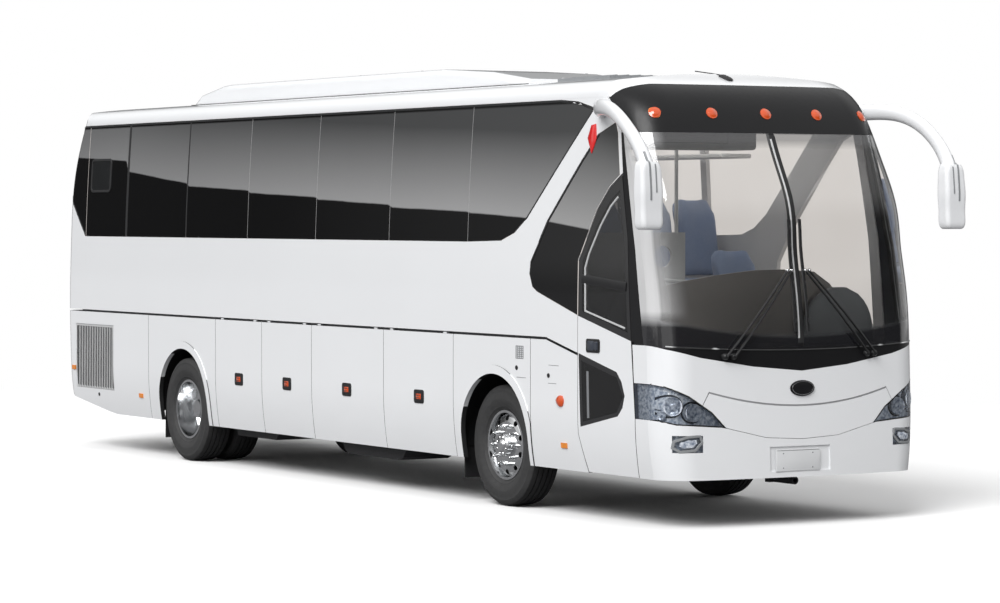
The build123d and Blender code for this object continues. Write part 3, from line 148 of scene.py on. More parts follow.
class Graph:
    """Node tree of a new material, or of the world."""

    def __init__(self, name, world=None):
        self.owner = world or bpy.data.materials.new(name)
        self.owner.use_nodes = True
        self.tree = self.owner.node_tree
        self.tree.nodes.clear()

    def node(self, kind, settings=None, sockets=None, out=0):
        """Adds a node of any kind, with its settings and its sockets' values or links."""
        made = self.tree.nodes.new(kind)
        for key, value in (settings or {}).items():
            setattr(made, key, value)
        for key, value in (sockets or {}).items():
            if isinstance(value, Wire):
                self.tree.links.new(value.socket, made.inputs[key])
            else:
                made.inputs[key].default_value = value
        return Wire(self, made.outputs[out])

    def place(self, output="Object"):
        """Coordinates as a vector."""
        return self.node("ShaderNodeTexCoord", out=output)

    def axes(self, vector=None):
        """The x, y and z values of a vector, or of the object coordinates."""
        vector = vector or self.place()
        first = self.node("ShaderNodeSeparateXYZ", sockets={0: vector})
        node = first.socket.node
        return tuple(Wire(self, node.outputs[index]) for index in range(3))

    def noise(self, scale, detail=2.0, stretch=(1.0, 1.0, 1.0)):
        """Noise from 0 to 1 over the object coordinates."""
        mapped = self.node("ShaderNodeMapping", sockets={"Vector": self.place(), "Scale": stretch})
        sockets = {"Vector": mapped, "Scale": scale, "Detail": detail}
        return self.node("ShaderNodeTexNoise", sockets=sockets)

    def ramp(self, value, stops):
        """Share that follows a table of places and levels."""
        made = self.node("ShaderNodeValToRGB", sockets={0: value})
        elements = made.socket.node.color_ramp.elements
        while len(elements) < len(stops):
            elements.new(0.5)
        for element, (place, level) in zip(elements, stops):
            element.position = place
            element.color = (level, level, level, 1.0)
        return made

    def rays(self, *kinds):
        """1 for rays of the named kinds and 0 for all others."""
        path = self.node("ShaderNodeLightPath").socket.node
        first, *others = [Wire(self, path.outputs[f"Is {kind} Ray"]) for kind in kinds]
        return sum(others, first).clamp()

    def solid(self, colour):
        """Colour with its alpha, unless a node gives it."""
        return colour if isinstance(colour, Wire) else (*colour, 1.0)

    def blend(self, factor, first, second):
        """Colour that runs from first to second."""
        return self.node("ShaderNodeMix", {"data_type": "RGBA"}, {
            0: factor, 6: self.solid(first), 7: self.solid(second),
        }, out=2)

    def bump(self, height, distance=0.001, strength=1.0, over=None):
        """Relief of a height, on top of another relief where one is given."""
        sockets = {"Height": height, "Distance": distance, "Strength": strength}
        if over is not None:
            sockets["Normal"] = over
        return self.node("ShaderNodeBump", sockets=sockets)

    def surface(self, colour, roughness=0.5, metallic=0.0, **more):
        """Principled shader."""
        sockets = {"Base Color": self.solid(colour), "Roughness": roughness, "Metallic": metallic}
        sockets.update({
            key.replace("_", " ").title().replace("Ior", "IOR"): value for key, value in more.items()
        })
        return self.node("ShaderNodeBsdfPrincipled", sockets=sockets)

    def mixed(self, factor, first, second):
        return self.node("ShaderNodeMixShader", sockets={0: factor, 1: first, 2: second})

    def done(self, shader, output="ShaderNodeOutputMaterial"):
        end = self.tree.nodes.new(output)
        self.tree.links.new(shader.socket, end.inputs["Surface"])
        return self.owner


BODY_WHITE = (0.80, 0.81, 0.825)
DOOR_BLACK = (0.006, 0.006, 0.007)
# Grey of the painted shade low on the body, and the height it reaches
LOW_SHADE_GREY = (0.50, 0.50, 0.49)
LOW_SHADE_TOP_Z = 0.95
# Crease across the hood: its height, how it bends up sideways and where it turns down
CREASE_Z = 0.955
CREASE_BEND = 0.16
CREASE_CORNER_Y = 0.87


def inside_lines(x, z, lines):
    """1 where a point lies on the left of every line, each given by two points."""
    mask = None
    for (x0, z0), (x1, z1) in lines:
        side = (z - z0) * (x1 - x0) - (x - x0) * (z1 - z0) > 0.0
        mask = side if mask is None else mask * side
    return mask


def ring_lines(points):
    """Lines around a polygon that runs counter-clockwise."""
    return list(zip(points, points[1:] + points[:1]))


def paint(name, white, black_lines=(), crease=False):
    """Clear-coated paint, greyer in patches low down as painted shade, black inside the lines; the crease
    crosses the hood.
    """
    graph = Graph(name)
    x, y, z = graph.axes()
    # Painted shade: greyer in noisy patches towards the bottom of the body.
    film = ((LOW_SHADE_TOP_Z - z) * 1.1).clamp() * graph.noise(2.2, 4.0, (1.0, 1.0, 2.5)) * 0.22
    colour = graph.blend(graph.noise(0.9, 3.0), tuple(level * 0.965 for level in white), white)
    colour = graph.blend(film, colour, LOW_SHADE_GREY)
    for lines in black_lines:
        colour = graph.blend(inside_lines(x, z, lines), colour, DOOR_BLACK)
    step = None
    if crease:
        line = CREASE_Z + (y ** 2.0) * CREASE_BEND - (abs(y) - CREASE_CORNER_Y).larger(0.0) * 2.0
        step = graph.bump(((z - line) * 70.0).clamp(), 0.014)
    normal = graph.bump(graph.noise(230.0, 1.0) * 0.10, 0.0006, 0.35, step)
    roughness = graph.noise(14.0, 2.0) * 0.10 + 0.26
    return graph.done(graph.surface(
        colour, roughness, coat_weight=0.8, coat_roughness=0.05, normal=normal,
    ))


def coated(name, colour, roughness=0.35, coat=0.0, grain=700.0, depth=0.0003, spread=0.18, metallic=0.0,
           shine=0.5):
    """Moulded, lacquered or cast surface with fine grain and slight colour drift."""
    graph = Graph(name)
    drift = graph.noise(3.0, 4.0)
    dark = tuple(level * (1.0 - spread) for level in colour)
    rough = graph.noise(grain / 6.0, 2.0) * 0.16 + (roughness - 0.08)
    normal = graph.bump(graph.noise(grain, 2.0), depth, 0.6)
    return graph.done(graph.surface(
        graph.blend(drift, dark, colour), rough, metallic, coat_weight=coat, coat_roughness=0.06,
        specular_ior_level=shine, normal=normal,
    ))


def polished(name, colour=(0.80, 0.81, 0.82), roughness=0.16):
    """Polished aluminium with faint turning marks around the axle."""
    graph = Graph(name)
    marks = graph.noise(420.0, 3.0, (1.0, 0.2, 1.0))
    haze = graph.noise(9.0, 3.0)
    tint = graph.blend(haze, tuple(level * 0.74 for level in colour), colour)
    normal = graph.bump(marks, 0.00005, 0.3)
    return graph.done(graph.surface(tint, haze * 0.10 + (roughness - 0.05), 1.0, normal=normal))


def tyre_rubber():
    """Black rubber, greyer on the sidewall where road film has dried."""
    graph = Graph("tyre_rubber")
    film = graph.noise(26.0, 5.0)
    colour = graph.blend(film, (0.016, 0.016, 0.017), (0.046, 0.046, 0.046))
    normal = graph.bump(graph.noise(420.0, 2.0), 0.0004, 0.6)
    return graph.done(graph.surface(colour, film * 0.15 + 0.62, normal=normal))


# Skyline of the painted reflection in the side panes: share of ten metres from the tail, and share of the
# panes' height
PAINTED_HORIZON = (
    (0.00, 0.72), (0.152, 0.67), (0.158, 0.575), (0.302, 0.46), (0.306, 0.436), (0.441, 0.393),
    (0.446, 0.372), (0.585, 0.332), (0.590, 0.312), (0.728, 0.27), (0.733, 0.25), (0.870, 0.215),
    (0.874, 0.205), (1.0, 0.16),
)
HORIZON_X = -6.0
HORIZON_LENGTH = 10.0
PANE_BASE_Z = 2.255
PANE_HEIGHT = 1.177
# Skyline of the painted reflection in the cab quarter pane: x and height where it is given, and its fall per
# metre forward
CAB_PAINTED_SKYLINE_X = 4.0
CAB_PAINTED_SKYLINE_Z = 2.43
CAB_PAINTED_SKYLINE_FALL = 0.10


def side_glass():
    """Dark tinted panes with a painted reflection: a grey sky that lightens down to a sharp skyline, black
    below it.
    """
    graph = Graph("side_glass")
    x, y, z = graph.axes()
    along = (x - HORIZON_X) / HORIZON_LENGTH
    share = (z - PANE_BASE_Z) / PANE_HEIGHT
    skyline = graph.ramp(along, PAINTED_HORIZON) + (graph.noise(2.0, 3.0, (1.0, 1.0, 0.2)) - 0.5) * 0.014
    fade = ((share - skyline) / 0.62).clamp()
    low = graph.blend((along * 1.15).clamp(), (0.175, 0.176, 0.178), (0.30, 0.30, 0.302))
    sky = graph.blend(fade, low, (0.052, 0.053, 0.054))
    above = ((share - skyline) * 90.0).clamp()
    colour = graph.blend(above, (0.0042, 0.0042, 0.0045), sky)
    edge = ((share - 0.965) * 80.0).clamp()
    colour = graph.blend(edge, colour, (0.004, 0.004, 0.004))
    normal = graph.bump(graph.noise(1.2, 1.0), 0.0008, 0.25)
    return graph.done(graph.surface(colour, 0.06, specular_ior_level=0.16, normal=normal))


def cab_glass():
    """Cab quarter pane with a painted reflection, lighter above its own skyline and near black below."""
    graph = Graph("cab_glass")
    x, y, z = graph.axes()
    skyline = CAB_PAINTED_SKYLINE_Z - (x - CAB_PAINTED_SKYLINE_X) * CAB_PAINTED_SKYLINE_FALL
    above = ((z - skyline) * 80.0).clamp()
    fade = ((z - skyline) / 0.80).clamp()
    sky = graph.blend(fade, (0.30, 0.30, 0.30), (0.045, 0.046, 0.046))
    normal = graph.bump(graph.noise(1.2, 1.0), 0.0008, 0.25)
    return graph.done(graph.surface(
        graph.blend(above, (0.0045, 0.0045, 0.005), sky), 0.06, specular_ior_level=0.35, normal=normal,
    ))


def painted_daylight_pane():
    """Inner face of a side pane, glowing by emission as painted daylight from outside."""
    graph = Graph("painted_daylight_pane")
    tone = graph.blend(graph.noise(0.8, 2.0), (0.60, 0.55, 0.52), (0.70, 0.655, 0.63))
    shader = graph.surface(
        (0.05, 0.05, 0.05), 0.3, emission_color=tone, emission_strength=1.05,
    )
    return graph.done(shader)


def ceiling_lamp():
    """Ribbed opal cover of a lit cabin lamp."""
    graph = Graph("ceiling_lamp")
    x, y, z = graph.axes()
    ribs = (x * 300.0).sine() * 0.5 + 0.5
    tone = graph.blend(ribs, (0.86, 0.84, 0.80), (0.95, 0.93, 0.90))
    return graph.done(graph.surface(tone, 0.4, emission_color=tone, emission_strength=5.0,
                                    normal=graph.bump(ribs, 0.001, 0.4)))


def glossed(graph, body, roughness, normal, share):
    """Body of a pane under a reflecting face that grows with the slant of view."""
    gloss = graph.node("ShaderNodeBsdfGlossy", sockets={
        "Color": (1, 1, 1, 1), "Roughness": roughness, "Normal": normal,
    })
    fresnel = graph.node("ShaderNodeFresnel", sockets={"IOR": 1.5})
    return graph.mixed((fresnel * share).clamp(), body, gloss)


# Windscreen: the fired border's upper edge and bend, top of the darker part below, shade band above, edges
# at the sides, and where the painted reflection starts near the sides
BORDER_Z = 1.535
BORDER_BEND = 0.085
DIMMED_TOP_Z = 2.00
SHADE_BASE_Z = 3.02
SIDE_BORDER_Y = 1.212
PAINTED_REFLECTION_Y = 1.00
PAINTED_REFLECTION_Z = 1.60


def screen_glass():
    """Clear windscreen with a shade band above, a black fired border below, darker towards the bottom, and a
    pale painted reflection near the sides.
    """
    graph = Graph("screen_glass")
    x, y, z = graph.axes()
    low = ((BORDER_Z + (y ** 2.0) * BORDER_BEND - z) * 26.0).clamp()
    # Darker and less clear towards the bottom.
    haze = ((DIMMED_TOP_Z - z) * 1.2).clamp() * 0.30
    top = ((z - SHADE_BASE_Z) * 14.0).clamp() * 0.62
    side = ((abs(y) - SIDE_BORDER_Y) * 60.0).clamp()
    # Painted reflection: pale grey near the sides, above the border.
    painted_reflection = ((abs(y) - PAINTED_REFLECTION_Y) * 5.0).clamp() * ((z - PAINTED_REFLECTION_Z) * 8.0).clamp() * 0.45
    cover = (low + haze + top + side * 0.55 + painted_reflection).clamp()
    clear = graph.node("ShaderNodeBsdfTransparent", sockets={"Color": (0.90, 0.92, 0.915, 1.0)})
    tone = graph.blend(low, (0.060, 0.061, 0.064), (0.008, 0.008, 0.010))
    shade = graph.surface(graph.blend((painted_reflection * 2.2).clamp(), tone, (0.62, 0.62, 0.625)), 0.08)
    body = graph.mixed(cover * 0.94, clear, shade)
    ripple = graph.bump(graph.noise(0.9, 1.0), 0.0002, 0.1)
    return graph.done(glossed(graph, body, 0.02, ripple, 1.35))


def tinted_glass(name, tint, gloss_share=1.3):
    """Thin transparent glass or lens over something."""
    graph = Graph(name)
    streak = graph.noise(5.0, 2.0)
    clear = graph.node("ShaderNodeBsdfTransparent", sockets={"Color": (*tint, 1.0)})
    return graph.done(glossed(graph, clear, 0.03, graph.bump(streak, 0.0004, 0.2), gloss_share))


def inner_glass():
    """Inner face of a clear pane: all but invisible, with faint wiped streaks."""
    graph = Graph("inner_glass")
    streak = graph.noise(4.0, 3.0, (1.0, 1.0, 0.2))
    clear = graph.node("ShaderNodeBsdfTransparent", sockets={"Color": (1, 1, 1, 1)})
    film = graph.surface((0.30, 0.30, 0.30), 0.5)
    return graph.done(graph.mixed(streak * 0.02, clear, film))


def lens(name, colour, glow=0.15, pitch=260.0):
    """Coloured lamp lens with moulded flutes."""
    graph = Graph(name)
    x, y, z = graph.axes()
    flutes = ((x + y) * pitch).sine() * (z * pitch).sine()
    tint = graph.blend(graph.noise(30.0, 2.0), tuple(level * 0.75 for level in colour), colour)
    return graph.done(graph.surface(
        tint, graph.noise(80.0) * 0.08 + 0.10, coat_weight=1.0, emission_color=tint,
        emission_strength=glow, normal=graph.bump(flutes, 0.0003, 0.3),
    ))


UPPER_TAIL_LAMP_Z = (2.78, 3.02)


def tail_lens():
    """Rear lamp strips: plain red, with red and white squares on the upper pair."""
    graph = Graph("tail_lens")
    x, y, z = graph.axes()
    squares = ((z * 75.0).sine() * ((y + x) * 75.0).sine()) > 0.0
    upper = (z > UPPER_TAIL_LAMP_Z[0]) * (z < UPPER_TAIL_LAMP_Z[1])
    colour = graph.blend(squares * upper, (0.50, 0.012, 0.014), (0.80, 0.78, 0.78))
    normal = graph.bump((z * 240.0).sine(), 0.0008, 0.5)
    return graph.done(graph.surface(colour, 0.12, coat_weight=1.0, normal=normal))


# Places of the lamp bowls (y, z and scale), the lattice and the door's black fields
BOWLS = ((1.165, 0.975, 1.0), (1.005, 0.925, 0.95), (1.232, 0.905, 0.5))
BOWL_REACH = 0.080
BOWL_RIM_END_Y = 1.228
LAMP_SIDE_Y = 1.236
LATTICE = [(1.195, 1.025), (1.195, 1.115), (1.060, 1.050), (1.060, 0.985)]
DOOR_GLASS_LINES = [((4.533, 1.665), (5.360, 1.475))]
LOWER_PANE = [
    (4.551, 1.358), (4.577, 0.757), (5.144, 0.870), (5.215, 0.940), (5.248, 1.040), (5.200, 1.150),
    (5.127, 1.226),
]


def lamp_reflector():
    """Stepped silver reflector behind a headlamp lens, with a lattice above its bowls; its shine is painted
    reflection, bright and dark facets in the colour.
    """
    graph = Graph("lamp_reflector")
    x, y, z = graph.axes()
    facets_and_glints = (graph.noise(38.0, 3.0) - 0.40) * 5.0
    lattice = ((y * 150.0).sine() > 0.35).larger((z * 150.0).sine() > 0.35)
    block = inside_lines(abs(y), z, ring_lines(LATTICE))
    tone = graph.blend(facets_and_glints.clamp(), (0.36, 0.42, 0.52), (0.86, 0.90, 0.96))
    tone = graph.blend(lattice * block, tone, (0.92, 0.94, 0.97))
    for bowl_y, bowl_z, scale in BOWLS:
        reach = (((abs(y) - bowl_y) ** 2.0 + (z - bowl_z) ** 2.0) ** 0.5) / (BOWL_REACH * scale)
        rim = (reach > 0.96) * (reach < 1.16) * (abs(y) < BOWL_RIM_END_Y)
        tone = graph.blend(rim, tone, (0.020, 0.026, 0.040))
    tone = graph.blend(((abs(y) - LAMP_SIDE_Y) * 90.0).clamp(), tone, (0.060, 0.080, 0.120))
    return graph.done(graph.surface(tone, 0.24, 0.10, normal=graph.bump(facets_and_glints, 0.003, 0.5)))


def lamp_chrome():
    """Faceted reflector of a lamp, its brightness a painted reflection: bright and dark facets in the
    colour.
    """
    graph = Graph("lamp_chrome")
    facets_and_glints = graph.noise(42.0, 3.0)
    tone = graph.blend((facets_and_glints - 0.3) * 2.5, (0.16, 0.20, 0.28), (0.86, 0.90, 0.96))
    return graph.done(graph.surface(
        tone, facets_and_glints * 0.10 + 0.10, 0.20, normal=graph.bump(facets_and_glints, 0.004, 0.8),
    ))


def woven(name, colour, second):
    """Seat moquette: a fine weave with a speckle of a second colour."""
    graph = Graph(name)
    x, y, z = graph.axes()
    weave = ((y * 1900.0).sine() * ((x + z) * 1900.0).sine()) * 0.5 + 0.5
    speckle = (graph.noise(190.0, 2.0) - 0.52) * 7.0
    tone = graph.blend(speckle.clamp(), colour, second)
    worn = graph.blend(graph.noise(6.0, 3.0) * 0.4, tone, (0.32, 0.35, 0.41))
    normal = graph.bump(weave + graph.noise(240.0) * 0.8, 0.0007, 0.7)
    return graph.done(graph.surface(worn, 0.86, sheen_weight=0.35, sheen_roughness=0.4, normal=normal))


def vinyl_floor():
    """Speckled anti-slip floor covering."""
    graph = Graph("vinyl_floor")
    chips = (graph.noise(320.0, 1.0) - 0.56) * 14.0
    colour = graph.blend(chips.clamp(), (0.060, 0.062, 0.066), (0.22, 0.22, 0.23))
    return graph.done(graph.surface(colour, 0.55, normal=graph.bump(graph.noise(260.0), 0.0006, 0.5)))


def floor_finish():
    """Pale studio floor that fades into plain white away from the coach."""
    graph = Graph("studio_floor")
    x, y, z = graph.axes()
    away = (((x * x * 0.55 + y * y) ** 0.5) - 7.0) / 6.0
    tone = graph.blend(graph.noise(0.6, 3.0), (0.90, 0.90, 0.90), (0.93, 0.93, 0.93))
    matt = graph.surface(tone, 0.9, specular_ior_level=0.1)
    glow = graph.node("ShaderNodeEmission", sockets={"Color": (1, 1, 1, 1), "Strength": 1.0})
    seen = graph.mixed(away.clamp(), matt, glow)
    dull = graph.surface((0.20, 0.20, 0.205), 0.9, specular_ior_level=0.0)
    return graph.done(graph.mixed(graph.rays("Camera", "Transmission"), dull, seen))


MAT = {}


def make_finishes(white):
    """All materials, by name."""
    MAT.update({
        "paint": paint("body_paint", white),
        "front_paint": paint("front_paint", white, crease=True),
        "door_paint": paint("door_paint", white, [DOOR_GLASS_LINES, ring_lines(LOWER_PANE)]),
        "black_paint": coated("black_paint", (0.0075, 0.0075, 0.0085), 0.34, 0.04, 260.0, 0.0002,
                              shine=0.28),
        "side_glass": side_glass(),
        "cab_glass": cab_glass(),
        "daylight": painted_daylight_pane(),
        "ceiling_lamp": ceiling_lamp(),
        "screen_glass": screen_glass(),
        "door_glass": tinted_glass("door_glass", (0.10, 0.102, 0.105)),
        "rear_glass": coated("rear_glass", (0.010, 0.011, 0.012), 0.12, 0.4, 30.0),
        "inner_glass": inner_glass(),
        "lens_clear": tinted_glass("lens_clear", (0.93, 0.95, 0.97), 1.6),
        "lamp_chrome": lamp_chrome(),
        "lamp_reflector": lamp_reflector(),
        "lamp_dark": coated("lamp_housing", (0.035, 0.042, 0.058), 0.30, 0.4),
        "orange": lens("orange_lens", (0.62, 0.075, 0.008), 0.10),
        "amber": lens("amber_lens", (0.80, 0.24, 0.010), 0.12),
        "red": lens("red_lens", (0.62, 0.012, 0.012), 0.25),
        "tail_lens": tail_lens(),
        "chassis_steel": coated("chassis_steel", (0.018, 0.018, 0.020), 0.55, 0.0, 320.0, 0.0006),
        "axle_steel": coated("axle_steel", (0.035, 0.035, 0.037), 0.48, 0.0, 220.0, 0.0006),
        "steel": coated("bare_steel", (0.42, 0.43, 0.44), 0.34, 0.0, 420.0, 0.0003, 0.3, 1.0),
        "polished": polished("polished_aluminium"),
        "chrome": polished("chrome_trim", (0.88, 0.89, 0.90), 0.09),
        "tyre": tyre_rubber(),
        "rubber": coated("black_rubber", (0.012, 0.012, 0.013), 0.66, 0.0, 500.0, 0.0005),
        "floor": vinyl_floor(),
        "grey_plastic": coated("grey_plastic", (0.20, 0.205, 0.215), 0.50, 0.0, 900.0),
        "lining": coated("wall_lining", (0.60, 0.595, 0.60), 0.62, 0.0, 700.0),
        "dash": coated("dash_plastic", (0.26, 0.235, 0.22), 0.52, 0.0, 800.0),
        "black_plastic": coated("black_plastic", (0.010, 0.010, 0.011), 0.42, 0.0, 900.0),
        "slat_grey": coated("grille_slats", (0.56, 0.565, 0.57), 0.38, 0.2, 500.0),
        "hatch_grey": coated("hatch_plastic", (0.25, 0.26, 0.27), 0.46, 0.0, 600.0),
        "moquette": woven("seat_moquette", (0.130, 0.180, 0.310), (0.260, 0.330, 0.470)),
        "mirror": polished("mirror_glass", (0.90, 0.92, 0.94), 0.06),
        "bare_plate": coated("bare_plate", (0.74, 0.75, 0.76), 0.38, 0.4, 300.0),
    })


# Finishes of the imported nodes; those that aren't named are painted
NODE_FINISH = {
    "front_panel": "front_paint", "front_cap": "black_paint",
    "windscreen_frame": "black_paint", "windscreens": "screen_glass", "cab_windows": "cab_glass",
    "side_windows": "side_glass", "rear_window": "rear_glass", "passenger_door": "door_paint",
    "passenger_door_glass": "door_glass", "front_lamps": "lens_clear", "rear_lamps": "tail_lens",
    "marker_lamps": "amber", "side_grilles": "slat_grey", "chassis_frame": "chassis_steel",
    "underfloor_tanks": "chassis_steel", "engine_block": "chassis_steel", "arch_liners": "black_plastic",
    "mud_flaps": "rubber", "front_axle_beam": "axle_steel", "rear_axle": "axle_steel",
    "knuckle_right": "axle_steel", "knuckle_left": "axle_steel", "front_rim_right": "polished",
    "front_rim_left": "polished", "rear_rims_right": "polished", "rear_rims_left": "polished",
    "cabin_floor": "floor", "front_floor": "floor", "luggage_bays": "steel", "door_arm": "steel",
    "dashboard": "dash", "steering_wheel": "black_plastic", "stair_screen": "lining",
    "roof_hatch": "hatch_grey",
}
WALLS = ("side_wall_right", "side_wall_left", "roof_shell", "rear_panel")
PANES = ("side_windows", "cab_windows", "rear_window")
CLEAR = ("windscreens", "passenger_door_glass")
SEALED = ("luggage_door", "skirts", "passenger_door", "engine_lid")
# Finishes that nodes have besides their own, by the start of their names
MORE_FINISHES = (
    (WALLS, ("lining", "black_paint")), (PANES, ("daylight",)), (CLEAR, ("inner_glass",)),
    ("front_lamps", ("lamp_reflector",)), (SEALED, ("rubber",)), ("side_grilles", ("black_plastic",)),
)
GRILLE_DEPTH = 0.010
SCREEN_MIDDLE_X = 4.9
ENDS_X = 5.6
FRONT_SKIRT_X = 5.5
ROOF_Z = 3.40
WALL_TOP_Z = 3.43


def outward(centre, normal):
    """Whether a body face looks away from the inside of the coach."""
    if abs(centre.x) > ENDS_X:
        return normal.x * centre.x > -0.05 and (abs(normal.x) > 0.3 or normal.y * centre.y > 0)
    if centre.z > ROOF_Z and abs(normal.z) > 0.3:
        return normal.z > 0
    return normal.y * centre.y > 0


def face_finish(name, centre, normal):
    """Number of the finish that one face of a node gets."""
    from_middle = normal.dot(Vector((centre.x - SCREEN_MIDDLE_X, centre.y, 0)))
    if name in CLEAR:
        return int(from_middle < 0)
    if name in PANES:
        return int(not outward(centre, normal))
    if name == "front_lamps":
        return int(from_middle <= 0 or abs(normal.z) >= 0.6)
    if name.startswith(SEALED):
        return int(max(abs(normal.x), abs(normal.z)) > 0.9 and abs(centre.x) < FRONT_SKIRT_X)
    if name == "side_grilles":
        return int(half_width(centre.z) - abs(centre.y) > GRILLE_DEPTH)
    if name in WALLS:
        sunk = half_width(min(centre.z, WALL_TOP_Z)) - abs(centre.y)
        if not outward(centre, normal):
            return 1
        if name.startswith("side_wall") and 0.004 < sunk < 0.012 and abs(normal.y) > 0.8:
            return 2
    return 0


def dress_nodes():
    """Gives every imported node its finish; inner faces of walls and panes get their own."""
    for name, item in NODES.items():
        finishes = [NODE_FINISH.get(name, "paint")]
        for starts, more in MORE_FINISHES:
            if name.startswith(starts):
                finishes += more
        item.data.materials.clear()
        for finish in finishes:
            item.data.materials.append(MAT[finish])
        for face in item.data.polygons:
            face.material_index = face_finish(name, Vector(face.center), Vector(face.normal))


# Mesh helpers; where a ray misses, the point lies at these depths
NOSE_X = 5.85
ROOF_TOP_Z = 3.65


def grid_tree(*names):
    """Tree of the named nodes' faces, for finding their surface."""
    verts, faces = [], []
    for name in names:
        mesh = NODES[name].data
        start = len(verts)
        verts += [vertex.co.copy() for vertex in mesh.vertices]
        faces += [[start + index for index in face.vertices] for face in mesh.polygons]
    return BVHTree.FromPolygons(verts, faces)


def side_cast(side, *names):
    """Finder of points on the side of the coach from x and z."""
    tree = grid_tree(*names)

    def cast(x, z):
        hit, normal, _, _ = tree.ray_cast(Vector((x, side * 2.5, z)), Vector((0, -side, 0)))
        if hit is None:
            return Vector((x, side * half_width(z), z)), Vector((0, side, 0))
        return hit, normal if normal.y * side > 0 else -normal
    return cast


def front_cast(*names):
    """Finder of points on the front of the coach from y and z; a miss keeps the last x that was hit."""
    tree = grid_tree(*names)
    last = {"x": NOSE_X}

    def cast(y, z):
        hit, normal, _, _ = tree.ray_cast(Vector((7.0, y, z)), Vector((-1, 0, 0)))
        if hit is None:
            return Vector((last["x"], y, z)), Vector((1, 0, 0))
        last["x"] = hit.x
        return hit, normal if normal.x > 0 else -normal
    return cast


def top_cast(*names):
    """Finder of points on top of the coach from x and y."""
    tree = grid_tree(*names)

    def cast(x, y):
        hit, normal, _, _ = tree.ray_cast(Vector((x, y, 6.0)), Vector((0, 0, -1)))
        return (hit, normal) if hit is not None else (Vector((x, y, ROOF_TOP_Z)), Vector((0, 0, 1)))
    return cast


def rings_to_faces(bm, rings, index=0, closed=False, caps=False):
    """Quads between rings of equally many points."""
    rows = [[bm.verts.new(point) for point in ring] for ring in rings]
    pairs = list(zip(rows, rows[1:])) + ([(rows[-1], rows[0])] if closed else [])
    for first, second in pairs:
        count = len(first)
        for step in range(count):
            after = (step + 1) % count
            bm.faces.new((first[step], first[after], second[after], second[step])).material_index = index
    if caps:
        for row in (rows[0], rows[-1]):
            bm.faces.new(row).material_index = index
    return rows


def turned(bm, profile, matrix, steps=48, index=0):
    """Profile of radius and depth, spun about the Z axis of a matrix."""
    before = len(bm.faces)
    points = [bm.verts.new(matrix @ Vector((radius, 0, depth))) for radius, depth in profile]
    edges = [bm.edges.new(pair) for pair in zip(points, points[1:])]
    bmesh.ops.spin(
        bm, geom=points + edges, cent=matrix.translation, axis=matrix.to_3x3() @ Vector((0, 0, 1)),
        angle=2 * math.pi, steps=steps, use_merge=True,
    )
    bm.faces.ensure_lookup_table()
    for face in bm.faces[before:]:
        face.material_index = index


def axle_matrix(x, y, z, side):
    """Matrix whose Z axis points out of the side of the coach."""
    turn = Matrix.Rotation(math.radians(-90 * side), 4, "X")
    return Matrix.Translation((x, y, z)) @ turn


def facing(place, normal):
    """Matrix whose Z axis is the normal."""
    turn = normal.to_track_quat("Z", "Y").to_matrix().to_4x4()
    return Matrix.Translation(place) @ turn


def resampled(path, step, closed=False):
    """Path with points at most a step apart."""
    points = list(path) + ([path[0]] if closed else [])
    made = []
    for (u0, v0), (u1, v1) in zip(points, points[1:]):
        parts = max(1, math.ceil(math.dist((u0, v0), (u1, v1)) / step))
        made += [(u0 + (u1 - u0) * k / parts, v0 + (v1 - v0) * k / parts) for k in range(parts)]
    return made if closed else made + [points[-1]]


def strip(bm, path, width, height, cast, closed=False, index=0, step=0.06):
    """Raised trim that follows the body's surface along a path."""
    points = resampled(path, step, closed)
    count = len(points)
    rings = []
    for number, (u, v) in enumerate(points):
        before = points[number - 1] if number or closed else points[number]
        after = points[(number + 1) % count] if number + 1 < count or closed else points[number]
        run = Vector((after[0] - before[0], after[1] - before[1]))
        run = run.normalized() if run.length else Vector((1, 0))
        across = Vector((-run.y, run.x)) * width / 2
        ring = []
        for share, rise in ((1.0, -0.3), (0.7, 1.0), (-0.7, 1.0), (-1.0, -0.3)):
            place, normal = cast(u + across.x * share, v + across.y * share)
            ring.append(place + normal * height * rise)
        rings.append(ring)
    rings_to_faces(bm, rings, index, closed, caps=not closed)


def pad(bm, outline, height, cast, index=0, crown=0.0, edge=0.86, sink=0.3):
    """Raised plate with a bevelled rim on the body's surface."""
    middle_u = sum(u for u, _ in outline) / len(outline)
    middle_v = sum(v for _, v in outline) / len(outline)
    rings = []
    for share, rise in ((1.0, -sink), (1.0, 0.6), (edge, 1.0)):
        ring = []
        for u, v in outline:
            place, normal = cast(middle_u + (u - middle_u) * share, middle_v + (v - middle_v) * share)
            ring.append(place + normal * height * rise)
        rings.append(ring)
    rows = rings_to_faces(bm, rings, index)
    place, normal = cast(middle_u, middle_v)
    hub = bm.verts.new(place + normal * (height + crown))
    for step, vert in enumerate(rows[-1]):
        bm.faces.new((vert, rows[-1][(step + 1) % len(rows[-1])], hub)).material_index = index
    bm.faces.new(rows[0][::-1]).material_index = index


def rounded(u, v, half_u, half_v, corner, steps=5):
    """Outline of a rounded rectangle."""
    points = []
    for start, sign_u, sign_v in ((0, 1, 1), (90, -1, 1), (180, -1, -1), (270, 1, -1)):
        for step in range(steps + 1):
            angle = math.radians(start + 90 * step / steps)
            points.append((
                u + sign_u * (half_u - corner) + corner * math.cos(angle),
                v + sign_v * (half_v - corner) + corner * math.sin(angle),
            ))
    return points


def oval(u, v, half_u, half_v, steps):
    """Outline of an oval."""
    return [
        (u + half_u * math.cos(2 * math.pi * k / steps), v + half_v * math.sin(2 * math.pi * k / steps))
        for k in range(steps)
    ]


